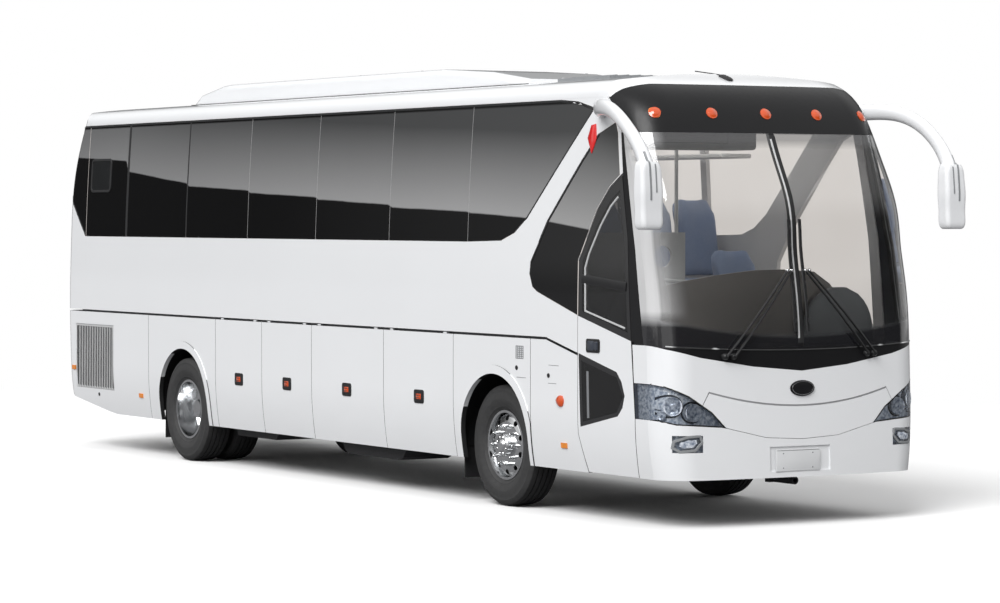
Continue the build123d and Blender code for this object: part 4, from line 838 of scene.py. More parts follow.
def tube(bm, points, radius, sides=10, index=0, flat=1.0):
    """Round or flattened bar along a line of points."""
    points = [Vector(point) for point in points]
    rings = []
    for number, point in enumerate(points):
        before = points[max(number - 1, 0)]
        after = points[min(number + 1, len(points) - 1)]
        turn = (after - before).to_track_quat("Z", "Y").to_matrix()
        ring = oval(0.0, 0.0, radius, radius * flat, sides)
        rings.append([point + turn @ Vector((u, v, 0)) for u, v in ring])
    rings_to_faces(bm, rings, index, caps=True)


def slab(bm, low, high, bevel=0.01, index=0, segments=3):
    """Box with rounded edges."""
    low, high = Vector(low), Vector(high)
    made = bmesh.ops.create_cube(bm, size=1.0)["verts"]
    for vert in made:
        vert.co = [low[axis] if vert.co[axis] < 0 else high[axis] for axis in range(3)]
    edges = list({edge for vert in made for edge in vert.link_edges})
    before = {face for vert in made for face in vert.link_faces}
    result = bmesh.ops.bevel(
        bm, geom=edges, offset=bevel, segments=segments, profile=0.5, affect="EDGES", material=-1,
    )
    for face in list(result["faces"]) + [face for face in before if face.is_valid]:
        face.material_index = index


def piece(name, bm, materials, body, replaces=(), smooth=40.0):
    """Makes the object of a finished mesh and sets it on its body."""
    bmesh.ops.remove_doubles(bm, verts=bm.verts, dist=1e-6)
    bmesh.ops.recalc_face_normals(bm, faces=bm.faces)
    for vert in bm.verts:
        vert.co = [min(max(value, low), high) for value, low, high in zip(vert.co, *CAD_BOX)]
    mesh = bpy.data.meshes.new(name)
    bm.to_mesh(mesh)
    bm.free()
    for material in materials:
        mesh.materials.append(MAT[material])
    item = bpy.data.objects.new(name, mesh)
    bpy.context.scene.collection.objects.link(item)
    for polygon in mesh.polygons:
        polygon.use_smooth = True
    mesh.set_sharp_from_angle(angle=math.radians(smooth))
    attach(item, body)
    if replaces:
        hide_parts(*replaces)
    return item


# Wheels; a profile is radius and depth along the axle
TYRE_PROFILE = (
    (0.2854, -0.099), (0.300, -0.103), (0.322, -0.120), (0.330, -0.1275), (0.336, -0.1275),
    (0.341, -0.130), (0.392, -0.1468), (0.398, -0.1475), (0.440, -0.1435), (0.462, -0.140),
    (0.470, -0.1415), (0.478, -0.1385), (0.490, -0.132), (0.504, -0.124), (0.511, -0.118), (0.516, -0.092),
)
TREAD_RADIUS = 0.5215
TREAD_HALF = 0.092
TREAD_CROWN = 0.0055
GROOVES = (-0.070, -0.024, 0.024, 0.070)
GROOVE_HALF = 0.0055
GROOVE_DEPTH = 0.012
GROOVE_FLANK = 0.001
NUT_CIRCLE = 0.1675
NUT_COUNT = 10
FRONT_NUT_Y = FRONT_WHEEL_Y + 0.098
REAR_NUT_Y = 0.932
LONG_NUT = (
    (0.0, 0.058), (0.007, 0.057), (0.0115, 0.052), (0.0125, 0.044), (0.0135, 0.016), (0.0175, 0.014),
    (0.0175, 0.004), (0.021, 0.003), (0.021, -0.004),
)
HUB_CAP = (
    (0.0, 0.170), (0.030, 0.169), (0.048, 0.166), (0.054, 0.158), (0.057, 0.152), (0.066, 0.152),
    (0.080, 0.151), (0.086, 0.146),
)
CAP_BOLT = ((0.0, 0.006), (0.006, 0.006), (0.0075, 0.0045), (0.0075, -0.002))
CAP_BOLT_CIRCLE = 0.072
CAP_BOLT_COUNT = 8
CAP_BOLT_Y = FRONT_WHEEL_Y + 0.151


def tyre_profile():
    """Closed tyre outline with four tread grooves."""
    tread = []
    corners = ((-1, -1, 0.0), (-1, 1, GROOVE_DEPTH), (1, -1, GROOVE_DEPTH), (1, 1, 0.0))
    for groove in GROOVES:
        for side, flank, depth in corners:
            offset = groove + side * GROOVE_HALF + flank * GROOVE_FLANK
            tread.append((TREAD_RADIUS - TREAD_CROWN * (offset / TREAD_HALF) ** 2 - depth, offset))
    outer = [(radius, -offset) for radius, offset in reversed(TYRE_PROFILE)]
    return list(TYRE_PROFILE) + tread + outer + [TYRE_PROFILE[0]]


def add_ring(bm, profile, x, y, side, circle, count, steps, start=0.0):
    """Ring of nuts or bolts around an axle."""
    for number in range(count):
        angle = 2 * math.pi * (number + start) / count
        place = (x + circle * math.cos(angle), side * y, AXLE_Z + circle * math.sin(angle))
        turned(bm, profile, axle_matrix(*place, side), steps)


class CoachWheelSettings(bpy.types.PropertyGroup):
    steps: IntProperty(name="Steps", description="Segments around a tyre", default=112, min=24)
    nut_scale: FloatProperty(name="Nut scale", description="Size of the wheel nuts", default=1.0)


class COACH_OT_wheels(bpy.types.Operator):
    """Grooved tyres, nuts and hub caps on every wheel"""
    bl_idname = "coach.wheels"
    bl_label = "Wheels"

    def execute(self, context):
        settings = context.scene.coach_wheels
        nut = [(radius * settings.nut_scale, depth * settings.nut_scale) for radius, depth in LONG_NUT]
        for side, name in SIDES:
            front, rear = f"front_wheel_{name}", f"rear_wheels_{name}"
            hub = axle_matrix(FRONT_AXLE_X, side * FRONT_WHEEL_Y, AXLE_Z, side)
            bm = bmesh.new()
            turned(bm, tyre_profile(), hub, settings.steps)
            piece(f"tyre_front_{name}", bm, ["tyre"], front, [f"front_tyre_{name}"], 28)
            bm = bmesh.new()
            for y in (DUAL_OUTER_Y, DUAL_INNER_Y):
                turned(bm, tyre_profile(), axle_matrix(REAR_AXLE_X, side * y, AXLE_Z, side), settings.steps)
            piece(f"tyres_rear_{name}", bm, ["tyre"], rear, [f"rear_tyres_{name}"], 28)
            bm = bmesh.new()
            add_ring(bm, nut, FRONT_AXLE_X, FRONT_NUT_Y, side, NUT_CIRCLE, NUT_COUNT, 18)
            turned(bm, HUB_CAP, hub, 40)
            add_ring(bm, CAP_BOLT, FRONT_AXLE_X, CAP_BOLT_Y, side, CAP_BOLT_CIRCLE, CAP_BOLT_COUNT, 6, 0.5)
            piece(f"wheel_nuts_front_{name}", bm, ["chrome"], front)
            bm = bmesh.new()
            add_ring(bm, nut, REAR_AXLE_X, REAR_NUT_Y, side, NUT_CIRCLE, NUT_COUNT, 18)
            piece(f"wheel_nuts_rear_{name}", bm, ["chrome"], rear)
        return {"FINISHED"}


# Trim on the sides; places are x and z
LOCK_PLACES = ((1, -1.723), (2, -0.691), (3, 0.520), (4, 1.881))
LOCK_Z = 0.880
KEYHOLES = ((3.565, 1.200), (4.080, 1.155), (-5.120, 0.578))
VENT = (3.615, 1.333)
VENT_HALF = (0.060, 0.051)
SHORT_SEAMS = ((3.640, 1.121, 0.15), (4.160, 1.242, 0.16), (4.140, 1.092, 0.13))
RED_LAMP = [(4.655, 3.215), (4.610, 3.110), (4.680, 2.985), (4.745, 3.105), (4.720, 3.225)]
TURN_LAMP = (4.266, 0.953)
TURN_LAMP_HALF = (0.058, 0.046)
TOP_SEAL = [(-5.590, 3.425), (4.150, 3.425), (4.420, 3.405), (4.660, 3.352)]
TAIL_SEAL = [(-5.620, 3.425), (-5.855, 3.290), (-5.965, 2.757), (-5.460, 2.262)]
CAB_SEAL = [(4.655, 3.335), (3.700, 2.462), (3.505, 2.342)]
CAB_PANE_EDGE = [(4.775, 3.138), (4.542, 2.928), (4.040, 2.433), (3.790, 2.096)]
WINDOW_POSTS = ((-4.412, 0.050), (-2.956, 0.022))
PANE_JOINTS = (-1.562, -0.127, 1.306, 2.720)
SLIDER = (-5.10, 2.90)
DOOR_FRAME = [
    (4.655, 1.700), (4.645, 2.055), (4.700, 2.170), (4.860, 2.395), (5.005, 2.555), (5.110, 2.630),
]


def evenly(low, high, count):
    """Evenly spaced values from low to high."""
    return [low + (high - low) * k / (count - 1) for k in range(count)]


class CoachTrimSettings(bpy.types.PropertyGroup):
    lock_half: FloatVectorProperty(
        name="Lock size", description="Half length and half height of a flap lock", size=2,
        default=(0.088, 0.060), unit="LENGTH",
    )
    seal: FloatProperty(
        name="Seal width", description="Width of the window seals", default=0.016, unit="LENGTH",
    )


class COACH_OT_side_trim(bpy.types.Operator):
    """Flap locks, seals, keyholes, the vent, side lamps and the door furniture"""
    bl_idname = "coach.side_trim"
    bl_label = "Side trim"

    def execute(self, context):
        settings = context.scene.coach_trim
        for side, name in SIDES:
            for number, x in LOCK_PLACES:
                cast = side_cast(side, f"luggage_door_{name}_{number}")
                bm = bmesh.new()
                half_x, half_z = settings.lock_half
                pad(bm, rounded(x, LOCK_Z, half_x, half_z, 0.024), 0.008, cast)
                # The lock's orange centre takes the lamp lens finish, whose faint glow is painted light on a
                # part that is no lamp.
                pad(bm, rounded(x, LOCK_Z, half_x * 0.50, half_z * 0.42, 0.008), 0.012, cast, 1)
                for z in (LOCK_Z - 0.012, LOCK_Z + 0.012):
                    strip(bm, [(x - 0.036, z), (x + 0.036, z)], 0.006, 0.015, cast)
                lock = f"flap_lock_{name}_{number}"
                piece(lock, bm, ["black_plastic", "orange"], f"flap_{name}_{number}")
            cast = side_cast(side, f"side_wall_{name}", f"skirts_{name}", "side_windows", "cab_windows")
            self.wall_trim(name, cast)
            self.window_trim(name, cast, settings.seal)
        self.door_trim()
        return {"FINISHED"}

    def wall_trim(self, name, cast):
        """Keyholes, the vent's grid, short seams and the two side lamps."""
        bm = bmesh.new()
        for x, z in KEYHOLES:
            pad(bm, oval(x, z, 0.022, 0.020, 16), 0.004, cast)
        (x, z), (half_x, half_z) = VENT, VENT_HALF
        for height in evenly(z - half_z, z + half_z, 7):
            strip(bm, [(x - half_x, height), (x + half_x, height)], 0.008, 0.003, cast, index=1)
        for place in evenly(x - half_x, x + half_x, 5):
            strip(bm, [(place, z - half_z), (place, z + half_z)], 0.006, 0.003, cast, index=1)
        for x, z, length in SHORT_SEAMS:
            strip(bm, [(x - length / 2, z), (x + length / 2, z)], 0.005, 0.0015, cast, index=1)
        piece(f"keyholes_{name}", bm, ["black_plastic", "hatch_grey"], "body")
        bm = bmesh.new()
        pad(bm, RED_LAMP, 0.012, cast, 0, 0.004)
        (x, z), (half_x, half_z) = TURN_LAMP, TURN_LAMP_HALF
        drop = [
            (x + half_x * math.cos(a), z + half_z * math.sin(a) * (1.0 + 0.25 * math.cos(a)))
            for a in [2 * math.pi * k / 24 for k in range(24)]
        ]
        pad(bm, drop, 0.016, cast, 1, 0.012)
        piece(f"side_lamps_{name}", bm, ["red", "orange"], "body")

    def window_trim(self, name, cast, seal):
        """Rubber around the panes, the rear sliding pane and the thin joints between panes."""
        bm = bmesh.new()
        strip(bm, TOP_SEAL, seal * 1.5, 0.004, cast)
        strip(bm, TAIL_SEAL, seal, 0.003, cast)
        for x, width in WINDOW_POSTS:
            strip(bm, [(x, 2.265), (x, 3.42)], width, 0.004, cast)
        strip(bm, rounded(*SLIDER, 0.245, 0.165, 0.040), 0.030, 0.008, cast, closed=True)
        strip(bm, CAB_SEAL, seal, 0.003, cast)
        strip(bm, CAB_PANE_EDGE, 0.026, 0.005, cast)
        piece(f"window_seals_{name}", bm, ["rubber"], "body")
        bm = bmesh.new()
        pad(bm, rounded(*SLIDER, 0.232, 0.152, 0.034), 0.003, cast, sink=0.2)
        piece(f"slider_pane_{name}", bm, ["rear_glass"], "body")
        bm = bmesh.new()
        for x in PANE_JOINTS:
            strip(bm, [(x, 2.262), (x, 3.425)], 0.007, 0.002, cast)
        piece(f"pane_joints_{name}", bm, ["hatch_grey"], "body")

    def door_trim(self):
        """Handle, inner frame lines and the bar across the entrance door's pane."""
        cast = side_cast(-1, "passenger_door", "passenger_door_glass")
        bm = bmesh.new()
        pad(bm, rounded(4.775, 1.425, 0.104, 0.056, 0.022), 0.008, cast)
        pad(bm, rounded(4.745, 1.425, 0.052, 0.040, 0.012), 0.012, cast, 1)
        pad(bm, rounded(4.835, 1.425, 0.022, 0.036, 0.010), 0.020, cast, 1)
        piece("door_handle", bm, ["black_plastic", "lamp_dark"], "door")
        bm = bmesh.new()
        strip(bm, DOOR_FRAME, 0.020, 0.006, cast)
        strip(bm, [(4.655, 1.705), (5.255, 1.580)], 0.016, 0.006, cast)
        strip(bm, [(4.690, 1.215), (4.702, 0.835)], 0.030, 0.006, cast, index=1)
        piece("door_inner_frame", bm, ["slat_grey", "grey_plastic"], "door")
        bm = bmesh.new()
        strip(bm, [(4.600, 1.965), (5.265, 1.910)], 0.085, 0.007, cast)
        piece("door_bar", bm, ["black_plastic"], "door")


# Front; places are y and z, and a lamp profile is in shares of its radius
AHEAD = Vector((1, 0, 0))
MOULDING_Z = 1.408
MOULDING_RISE = 0.041
MOULDING_HALF = 1.2
DISC = (0.0, 1.099)
PLATE_LOW = (-0.267, 0.435)
PLATE_HIGH = (0.160, 0.611)
PLATE_RIM = 0.006
SCREW = ((0.0, 0.0065), (0.005, 0.005), (0.007, 0.001))
BOWL = (
    (0.0, 0.45), (0.18, 0.43), (0.34, 0.34), (0.42, 0.18), (0.44, 0.02), (0.52, -0.02), (0.66, 0.10),
    (0.84, 0.30), (0.90, 0.42), (1.0, 0.44), (1.04, 0.30), (1.04, -0.10),
)
BOWL_DEPTH = 0.30
BOWL_SINK = 0.014
LAMP_EDGE = (
    (1.268, 1.150), (1.212, 1.131), (1.048, 1.053), (0.849, 0.922), (0.735, 0.806), (0.957, 0.822),
    (1.143, 0.833), (1.268, 0.866),
)
FOG = (
    (0.940, 0.690), (0.955, 0.740), (1.060, 0.735), (1.160, 0.700), (1.168, 0.650), (1.120, 0.618),
    (1.000, 0.628),
)
FOG_MIDDLE = (1.055, 0.680)
FOG_LENS_SHARE = (0.62, 0.55)
CAP_LAMP = ((0.0, 0.019), (0.018, 0.0175), (0.034, 0.012), (0.043, 0.006), (0.050, 0.005), (0.050, -0.004))
CAP_LAMP_Y = (1.023, 0.518)
CAP_LAMP_Z = 3.305
ANTENNA = (4.95, -0.10)


class CoachFrontSettings(bpy.types.PropertyGroup):
    bowl_radius: FloatProperty(
        name="Bowl radius", description="Radius of a lamp bowl", default=0.074, unit="LENGTH",
    )
    blade_half: FloatProperty(
        name="Blade width", description="Half width of a wiper blade", default=0.017, unit="LENGTH",
    )


class COACH_OT_front_trim(bpy.types.Operator):
    """Silver moulding, plain disc, bare plate, lamp innards, cap lamps and antenna"""
    bl_idname = "coach.front_trim"
    bl_label = "Front trim"

    def execute(self, context):
        cast = front_cast(
            "front_panel", "front_bumper", "windscreen_frame", "windscreens", "front_cap", "front_lamps",
            "marker_lamps",
        )
        bm = bmesh.new()
        line = [
            (y, MOULDING_Z + MOULDING_RISE * (y / MOULDING_HALF) ** 2)
            for y in evenly(-MOULDING_HALF, MOULDING_HALF, 41)
        ]
        strip(bm, line, 0.012, 0.006, cast)
        piece("silver_moulding", bm, ["chrome"], "body")
        bm = bmesh.new()
        strip(bm, [(0.0, 1.46), (0.0, 3.13)], 0.062, 0.004, cast)
        strip(bm, [(-0.020, 1.50), (-0.020, 3.10)], 0.016, 0.007, cast, index=1)
        piece("screen_divider", bm, ["rubber", "slat_grey"], "body")
        bm = bmesh.new()
        pad(bm, oval(*DISC, 0.118, 0.064, 40), 0.012, cast, 0, 0.004)
        strip(bm, oval(*DISC, 0.104, 0.053, 40), 0.007, 0.016, cast, closed=True, index=1)
        piece("plain_disc", bm, ["black_paint", "chrome"], "body")
        self.plate(cast)
        for side, name in SIDES:
            self.lamps(side, name, context.scene.coach_front.bowl_radius, cast)
        self.antenna()
        return {"FINISHED"}

    def plate(self, cast):
        """Bare number plate with a thin rim and four screws."""
        (low, base), (high, top) = PLATE_LOW, PLATE_HIGH
        middle_y, middle_z = (low + high) / 2, (base + top) / 2
        face = max(cast(y, z)[0].x for y in (low, middle_y, high) for z in (base, middle_z, top))
        bm = bmesh.new()
        slab(bm, (face - 0.004, low, base), (face + 0.003, high, top), 0.0015)
        for z in (base + PLATE_RIM, top - PLATE_RIM):
            edge_low = (face + 0.002, low + PLATE_RIM, z - 0.002)
            slab(bm, edge_low, (face + 0.005, high - PLATE_RIM, z + 0.002), 0.001, 1, 1)
        for y in (low + 0.070, high - 0.070):
            for z in (base + 0.030, top - 0.030):
                turned(bm, SCREW, facing(Vector((face, y, z)), AHEAD), 14, 1)
        piece("bare_plate", bm, ["bare_plate", "hatch_grey"], "body")

    def lamps(self, side, name, bowl_radius, cast):
        """Bowls and rim of a headlamp, a fog lamp and the cap lamps of one side."""
        inner = front_cast("front_lamps")
        bm = bmesh.new()
        for y, z, scale in BOWLS:
            place, normal = inner(side * y, z)
            radius = bowl_radius * scale
            profile = [(share * radius, depth * radius * BOWL_DEPTH) for share, depth in BOWL]
            turned(bm, profile, facing(place - normal * BOWL_SINK, normal), 36)
        piece(f"lamp_bowls_{name}", bm, ["lamp_chrome"], "body")
        bm = bmesh.new()
        strip(bm, [(side * y, z) for y, z in LAMP_EDGE], 0.012, 0.0015, cast)
        strip(bm, [(side * y, z) for y, z in FOG], 0.024, 0.004, cast, closed=True, index=1, step=0.03)
        piece(f"lamp_rims_{name}", bm, ["black_plastic", "hatch_grey"], "body")
        bm = bmesh.new()
        (middle_y, middle_z), (share_y, share_z) = FOG_MIDDLE, FOG_LENS_SHARE
        fog_lens = [
            (side * (middle_y + (y - middle_y) * share_y), middle_z + (z - middle_z) * share_z)
            for y, z in FOG
        ]
        pad(bm, fog_lens, 0.002, cast, 0, 0.001)
        piece(f"fog_lens_{name}", bm, ["lamp_chrome"], "body")
        bm = bmesh.new()
        for y in CAP_LAMP_Y if side > 0 else (*CAP_LAMP_Y, 0.0):
            turned(bm, CAP_LAMP, facing(*cast(side * y, CAP_LAMP_Z)), 28)
        piece(f"cap_lamps_{name}", bm, ["orange"], "body")

    def antenna(self):
        """Foot and whip of the roof antenna."""
        cast = top_cast("roof_shell", "front_cap")
        bm = bmesh.new()
        pad(bm, rounded(*ANTENNA, 0.075, 0.030, 0.020), 0.022, cast, 0, 0.006, 0.7)
        start = cast(*ANTENNA)[0] + Vector((0.03, 0, 0.018))
        tube(bm, [start, start + Vector((-0.20, 0, 0.028)), start + Vector((-0.48, 0, 0.060))], 0.0045, 8)
        piece("antenna", bm, ["black_plastic"], "body")


PIVOT_Y = 0.690
PIVOT_Z = 1.363
JOINT_Y = 0.085
JOINT_Z = 2.035
ARM_HALF_GAP = 0.038
BLADE_Y = (0.062, 0.052)
BLADE_Z = (1.55, 2.45)
BLADE_POINTS = 13


class COACH_OT_wipers(bpy.types.Operator):
    """Two pairs of twin wiper arms in a V, with upright blades"""
    bl_idname = "coach.wipers"
    bl_label = "Wipers"

    def execute(self, context):
        cast = front_cast("windscreens", "windscreen_frame")
        bm = bmesh.new()
        for side, _ in SIDES:
            for shift in (-ARM_HALF_GAP, ARM_HALF_GAP):
                self.arm(bm, cast, side, shift)
            joint = self.over(cast, side * JOINT_Y, JOINT_Z, 0.034)
            for shift in (-0.020, 0.022):
                turned(bm, self.knob(0.013), facing(joint + Vector((0.0, side * shift, 0)), AHEAD), 14, 1)
            self.blade(bm, cast, side, context.scene.coach_front.blade_half)
        piece("wiper_set", bm, ["black_plastic", "chrome"], "body", ["wipers"])
        return {"FINISHED"}

    def arm(self, bm, cast, side, shift):
        """Flat rod from a pivot on the frame up to the blade's joint."""
        foot, head = PIVOT_Y + shift, JOINT_Y + shift / 2
        low = self.over(cast, side * foot, PIVOT_Z, 0.040)
        line = [low]
        for share in (0.25, 0.5, 0.75, 1.0):
            y = side * (foot + (head - foot) * share)
            z = PIVOT_Z + (JOINT_Z - PIVOT_Z) * share
            line.append(self.over(cast, y, z, 0.046 - 0.012 * share))
        tube(bm, line, 0.0125, 8, 0, 0.7)
        turned(bm, self.knob(0.026), facing(low - AHEAD * 0.030, AHEAD), 20)

    def blade(self, bm, cast, side, half):
        """Blade with its rubber wedge and the claws that hold it."""
        places = zip(evenly(*BLADE_Y, BLADE_POINTS), evenly(*BLADE_Z, BLADE_POINTS))
        blade = [self.over(cast, side * y, z, 0.016) for y, z in places]
        tube(bm, blade, half, 8, 0, 0.6)
        tube(bm, [point - AHEAD * 0.008 for point in blade], 0.006, 6, 0, 0.4)
        for point in blade[1::2]:
            claw = ((0.009, 0, -0.03), (0.014, 0, 0.0), (0.009, 0, 0.03))
            tube(bm, [point + Vector(shift) for shift in claw], 0.006, 6)

    def over(self, cast, y, z, height):
        """Point at a height over the glass."""
        place, normal = cast(y, z)
        return place + normal * height

    def knob(self, radius):
        """Profile of a domed knob."""
        return [(radius * out, radius * up) for out, up in ((0.0, 1.3), (0.6, 1.2), (1.0, 0.7), (1.0, -0.9))]


MIRROR_Y = 1.487
MIRROR_HALF = 0.068
MIRROR_LOW = 2.446
MIRROR_HIGH = 2.814
# Slots of an arm: shift from its middle, upper end, lower end and width
ARM_SLOTS = ((0.022, 2.98, 2.60, 0.020), (-0.030, 2.90, 2.66, 0.014))


class COACH_OT_mirrors(bpy.types.Operator):
    """Mirror glass, its rim and the dark slots of the arms"""
    bl_idname = "coach.mirrors"
    bl_label = "Mirrors"

    def execute(self, context):
        cast = front_cast("mirrors")
        for side, name in SIDES:
            middle = side * MIRROR_Y
            left, right = middle - MIRROR_HALF, middle + MIRROR_HALF
            bm = bmesh.new()
            slab(bm, (5.838, left, MIRROR_LOW), (5.846, right, MIRROR_HIGH), 0.003)
            for z in (MIRROR_LOW + 0.003, MIRROR_HIGH - 0.003):
                slab(bm, (5.832, left, z - 0.004), (5.840, right, z + 0.004), 0.002, 1)
            piece(f"mirror_glass_{name}", bm, ["mirror", "black_plastic"], "body")
            bm = bmesh.new()
            for shift, top, base, width in ARM_SLOTS:
                path = [(middle + shift * side, z) for z in evenly(top, base, 7)]
                strip(bm, path, width, 0.003, cast, step=0.03)
            piece(f"mirror_slots_{name}", bm, ["hatch_grey"], "body")
        return {"FINISHED"}


AIR_VENTS_X = (-3.0, -1.6)
AIR_VENT_COUNT = 8
AIR_VENT_PITCH = 0.07
AIR_VENT_Y = (0.16, 0.44)
AIR_BOLTS_X = (-3.9, -2.2, -0.6, 0.6, 1.8)
AIR_BOLTS_Y = 0.52
AIR_UNIT_ENDS = (-4.19, 2.64)
AIR_UNIT_EDGE_Y = 0.606
HATCH_ENDS = (2.80, 3.50)


class COACH_OT_roof(bpy.types.Operator):
    """Air unit vents, its base seam and the ribs of the hatch"""
    bl_idname = "coach.roof"
    bl_label = "Roof"

    def execute(self, context):
        cast = top_cast("roof_air_unit")
        bm = bmesh.new()
        for first in AIR_VENTS_X:
            for side in (-1, 1):
                for number in range(AIR_VENT_COUNT):
                    x = first + number * AIR_VENT_PITCH
                    strip(bm, [(x, side * y) for y in AIR_VENT_Y], 0.022, 0.004, cast)
        for x in AIR_BOLTS_X:
            for side in (-1, 1):
                pad(bm, oval(x, side * AIR_BOLTS_Y, 0.012, 0.012, 12), 0.004, cast)
        piece("air_unit_vents", bm, ["hatch_grey"], "body")
        bm = bmesh.new()
        roof = top_cast("roof_shell")
        for y in (-AIR_UNIT_EDGE_Y, AIR_UNIT_EDGE_Y):
            strip(bm, [(x, y) for x in AIR_UNIT_ENDS], 0.014, 0.006, roof, step=0.4)
        piece("air_unit_seal", bm, ["rubber"], "body")
        bm = bmesh.new()
        lid = top_cast("roof_hatch")
        for y in evenly(-0.24, 0.24, 5):
            strip(bm, [(x, y) for x in HATCH_ENDS], 0.030, 0.008, lid)
        piece("hatch_ribs", bm, ["hatch_grey"], "hatch")
        return {"FINISHED"}


# Inside
SEAT_ROWS = 11
SEAT_PITCH = 0.820
SEAT_FIRST = -5.200
SEAT_MIDDLES_Y = (0.4675, 0.9425)
DRIVER_SEAT = (4.130, 0.595, DECK)
CUSHION = (0.425, 0.430, 0.095)
BACK = (0.085, 0.430, 0.700)


class CoachSeatSettings(bpy.types.PropertyGroup):
    pressure: FloatProperty(name="Pressure", description="Pressure of the cloth pads", default=3.0)
    frames: IntProperty(name="Frames", description="Length of the cloth simulation", default=14)
    swell: FloatProperty(name="Swell", description="How far a pad may swell", default=0.022, unit="LENGTH")


def pad_mesh(name, size, cuts, taper=0.0, lean=0.0, ears=0.0):
    """Closed pad, ready to be blown up; a back has sunken upper corners and a hollow front."""
    bm = bmesh.new()
    bmesh.ops.create_cube(bm, size=1.0)
    bmesh.ops.subdivide_edges(bm, edges=bm.edges, cuts=cuts, use_grid_fill=True)
    for vert in bm.verts:
        x, y, z = vert.co
        corner = max(0.0, abs(y) - 0.36) / 0.14
        top = max(0.0, z - 0.30) / 0.20
        vert.co = Vector((
            x * size[0] * (1.0 - taper * top), y * size[1] * (1.0 - 0.10 * top), z * size[2],
        ))
        if ears:
            vert.co.z -= ears * corner**2 * top
            vert.co.x += lean * z
            vert.co.x -= 0.012 * math.cos(y * math.pi) * (1 if x > 0 else 0)
    mesh = bpy.data.meshes.new(name)
    bm.to_mesh(mesh)
    bm.free()
    item = bpy.data.objects.new(name, mesh)
    bpy.context.scene.collection.objects.link(item)
    return item


def simulated(item, settings):
    """Places of a pad's points at the end of its cloth simulation."""
    cloth = item.modifiers.new("pad", "CLOTH")
    cloth.settings.use_pressure = True
    cloth.settings.uniform_pressure_force = settings.pressure
    cloth.settings.effector_weights.gravity = 0.0
    cloth.settings.quality = 4
    cloth.point_cache.frame_start = 1
    cloth.point_cache.frame_end = settings.frames
    for number in range(1, settings.frames + 1):
        bpy.context.scene.frame_set(number)
    seen = item.evaluated_get(bpy.context.evaluated_depsgraph_get())
    ended = [vertex.co.copy() for vertex in seen.data.vertices]
    item.modifiers.clear()
    bpy.context.scene.frame_set(1)
    return ended


def blown(item, settings):
    """Blows up a pad, caps how far its points move, and gives back its points and faces."""
    start = [vertex.co.copy() for vertex in item.data.vertices]
    for vertex, first, last in zip(item.data.vertices, start, simulated(item, settings)):
        move = last - first
        if move.length > settings.swell:
            move = move.normalized() * settings.swell
        vertex.co = first + move
    smooth = bmesh.new()
    smooth.from_mesh(item.data)
    bmesh.ops.smooth_vert(
        smooth, verts=smooth.verts, factor=0.4, use_axis_x=True, use_axis_y=True, use_axis_z=True,
    )
    smooth.to_mesh(item.data)
    smooth.free()
    points = [vertex.co.copy() for vertex in item.data.vertices]
    faces = [tuple(face.vertices) for face in item.data.polygons]
    bpy.data.objects.remove(item)
    return points, faces


def seat_places():
    """Every seat: front edge of the frame, middle and floor height."""
    places = []
    for row in range(SEAT_ROWS):
        for side in (-1, 1):
            for y in SEAT_MIDDLES_Y:
                places.append((SEAT_FIRST + row * SEAT_PITCH, side * y, CABIN_FLOOR))
    return places + [DRIVER_SEAT]


class COACH_OT_seats(bpy.types.Operator):
    """Padded coach seats with their pans and legs"""
    bl_idname = "coach.seats"
    bl_label = "Seats"

    def execute(self, context):
        settings = context.scene.coach_seats
        cushion = blown(pad_mesh("cushion", CUSHION, 7), settings)
        back = blown(pad_mesh("back", BACK, 9, 0.25, -0.160, 0.055), settings)
        bm = bmesh.new()
        for x, y, floor in seat_places():
            for (points, faces), place in (
                (cushion, Vector((x + 0.232, y, floor + 0.420))),
                (back, Vector((x - 0.030, y, floor + 0.845))),
            ):
                verts = [bm.verts.new(point + place) for point in points]
                for face in faces:
                    bm.faces.new([verts[index] for index in face])
        made = piece("seat_pads", bm, ["moquette"], "body", ["seats"], 60)
        bm = bmesh.new()
        for x, y, floor in seat_places():
            pan, leg_top = floor + 0.372, floor + 0.352
            slab(bm, (x + 0.03, y - 0.205, leg_top), (x + 0.44, y + 0.205, pan), 0.008, 0, 1)
            slab(bm, (x + 0.20, y - 0.03, floor + 0.002), (x + 0.26, y + 0.03, leg_top), 0.006, 1, 1)
        piece("seat_frames", bm, ["dash", "steel"], "body")
        return {"FINISHED"}


DASH_TOP = 1.442
BINNACLE = (5.47, 0.66)
BINNACLE_HALF = 0.42
BINNACLE_RISE = 0.45
BINNACLE_RINGS = 9
BOARD_X = 5.36
BOARD_BASE = 1.444
BOARD_THICK = 0.030
BOARD_CREST = (
    (-1.05, 1.90), (-0.80, 1.95), (-0.45, 2.00), (-0.10, 2.035), (0.20, 2.04), (0.50, 2.02), (0.66, 1.92),
    (0.78, 1.78), (0.98, 1.62),
)
STAIR_RAIL = (
    (4.50, -1.02, 1.46), (4.62, -1.00, 1.78), (4.70, -0.90, 1.93), (4.74, -0.60, 1.95), (4.74, -0.30, 1.93),
    (4.72, -0.20, 1.80), (4.70, -0.185, 1.46),
)
STAIR_POLE = ((4.43, -0.24, 1.45), (4.43, -0.24, 3.30))
RAIL_RADIUS = 0.016
RACK_ENDS = (-5.25, 3.60)
RACK_Y = (0.78, 1.10)
RACK_Z = (2.98, 3.02)
LAMP_FIRST = -5.0
LAMP_PITCH = 1.15
LAMP_LENGTH = 1.05
LAMP_COUNT = 8
LAMP_HALF = 0.05
LAMP_Y = 0.55
LAMP_Z = (3.375, 3.395)


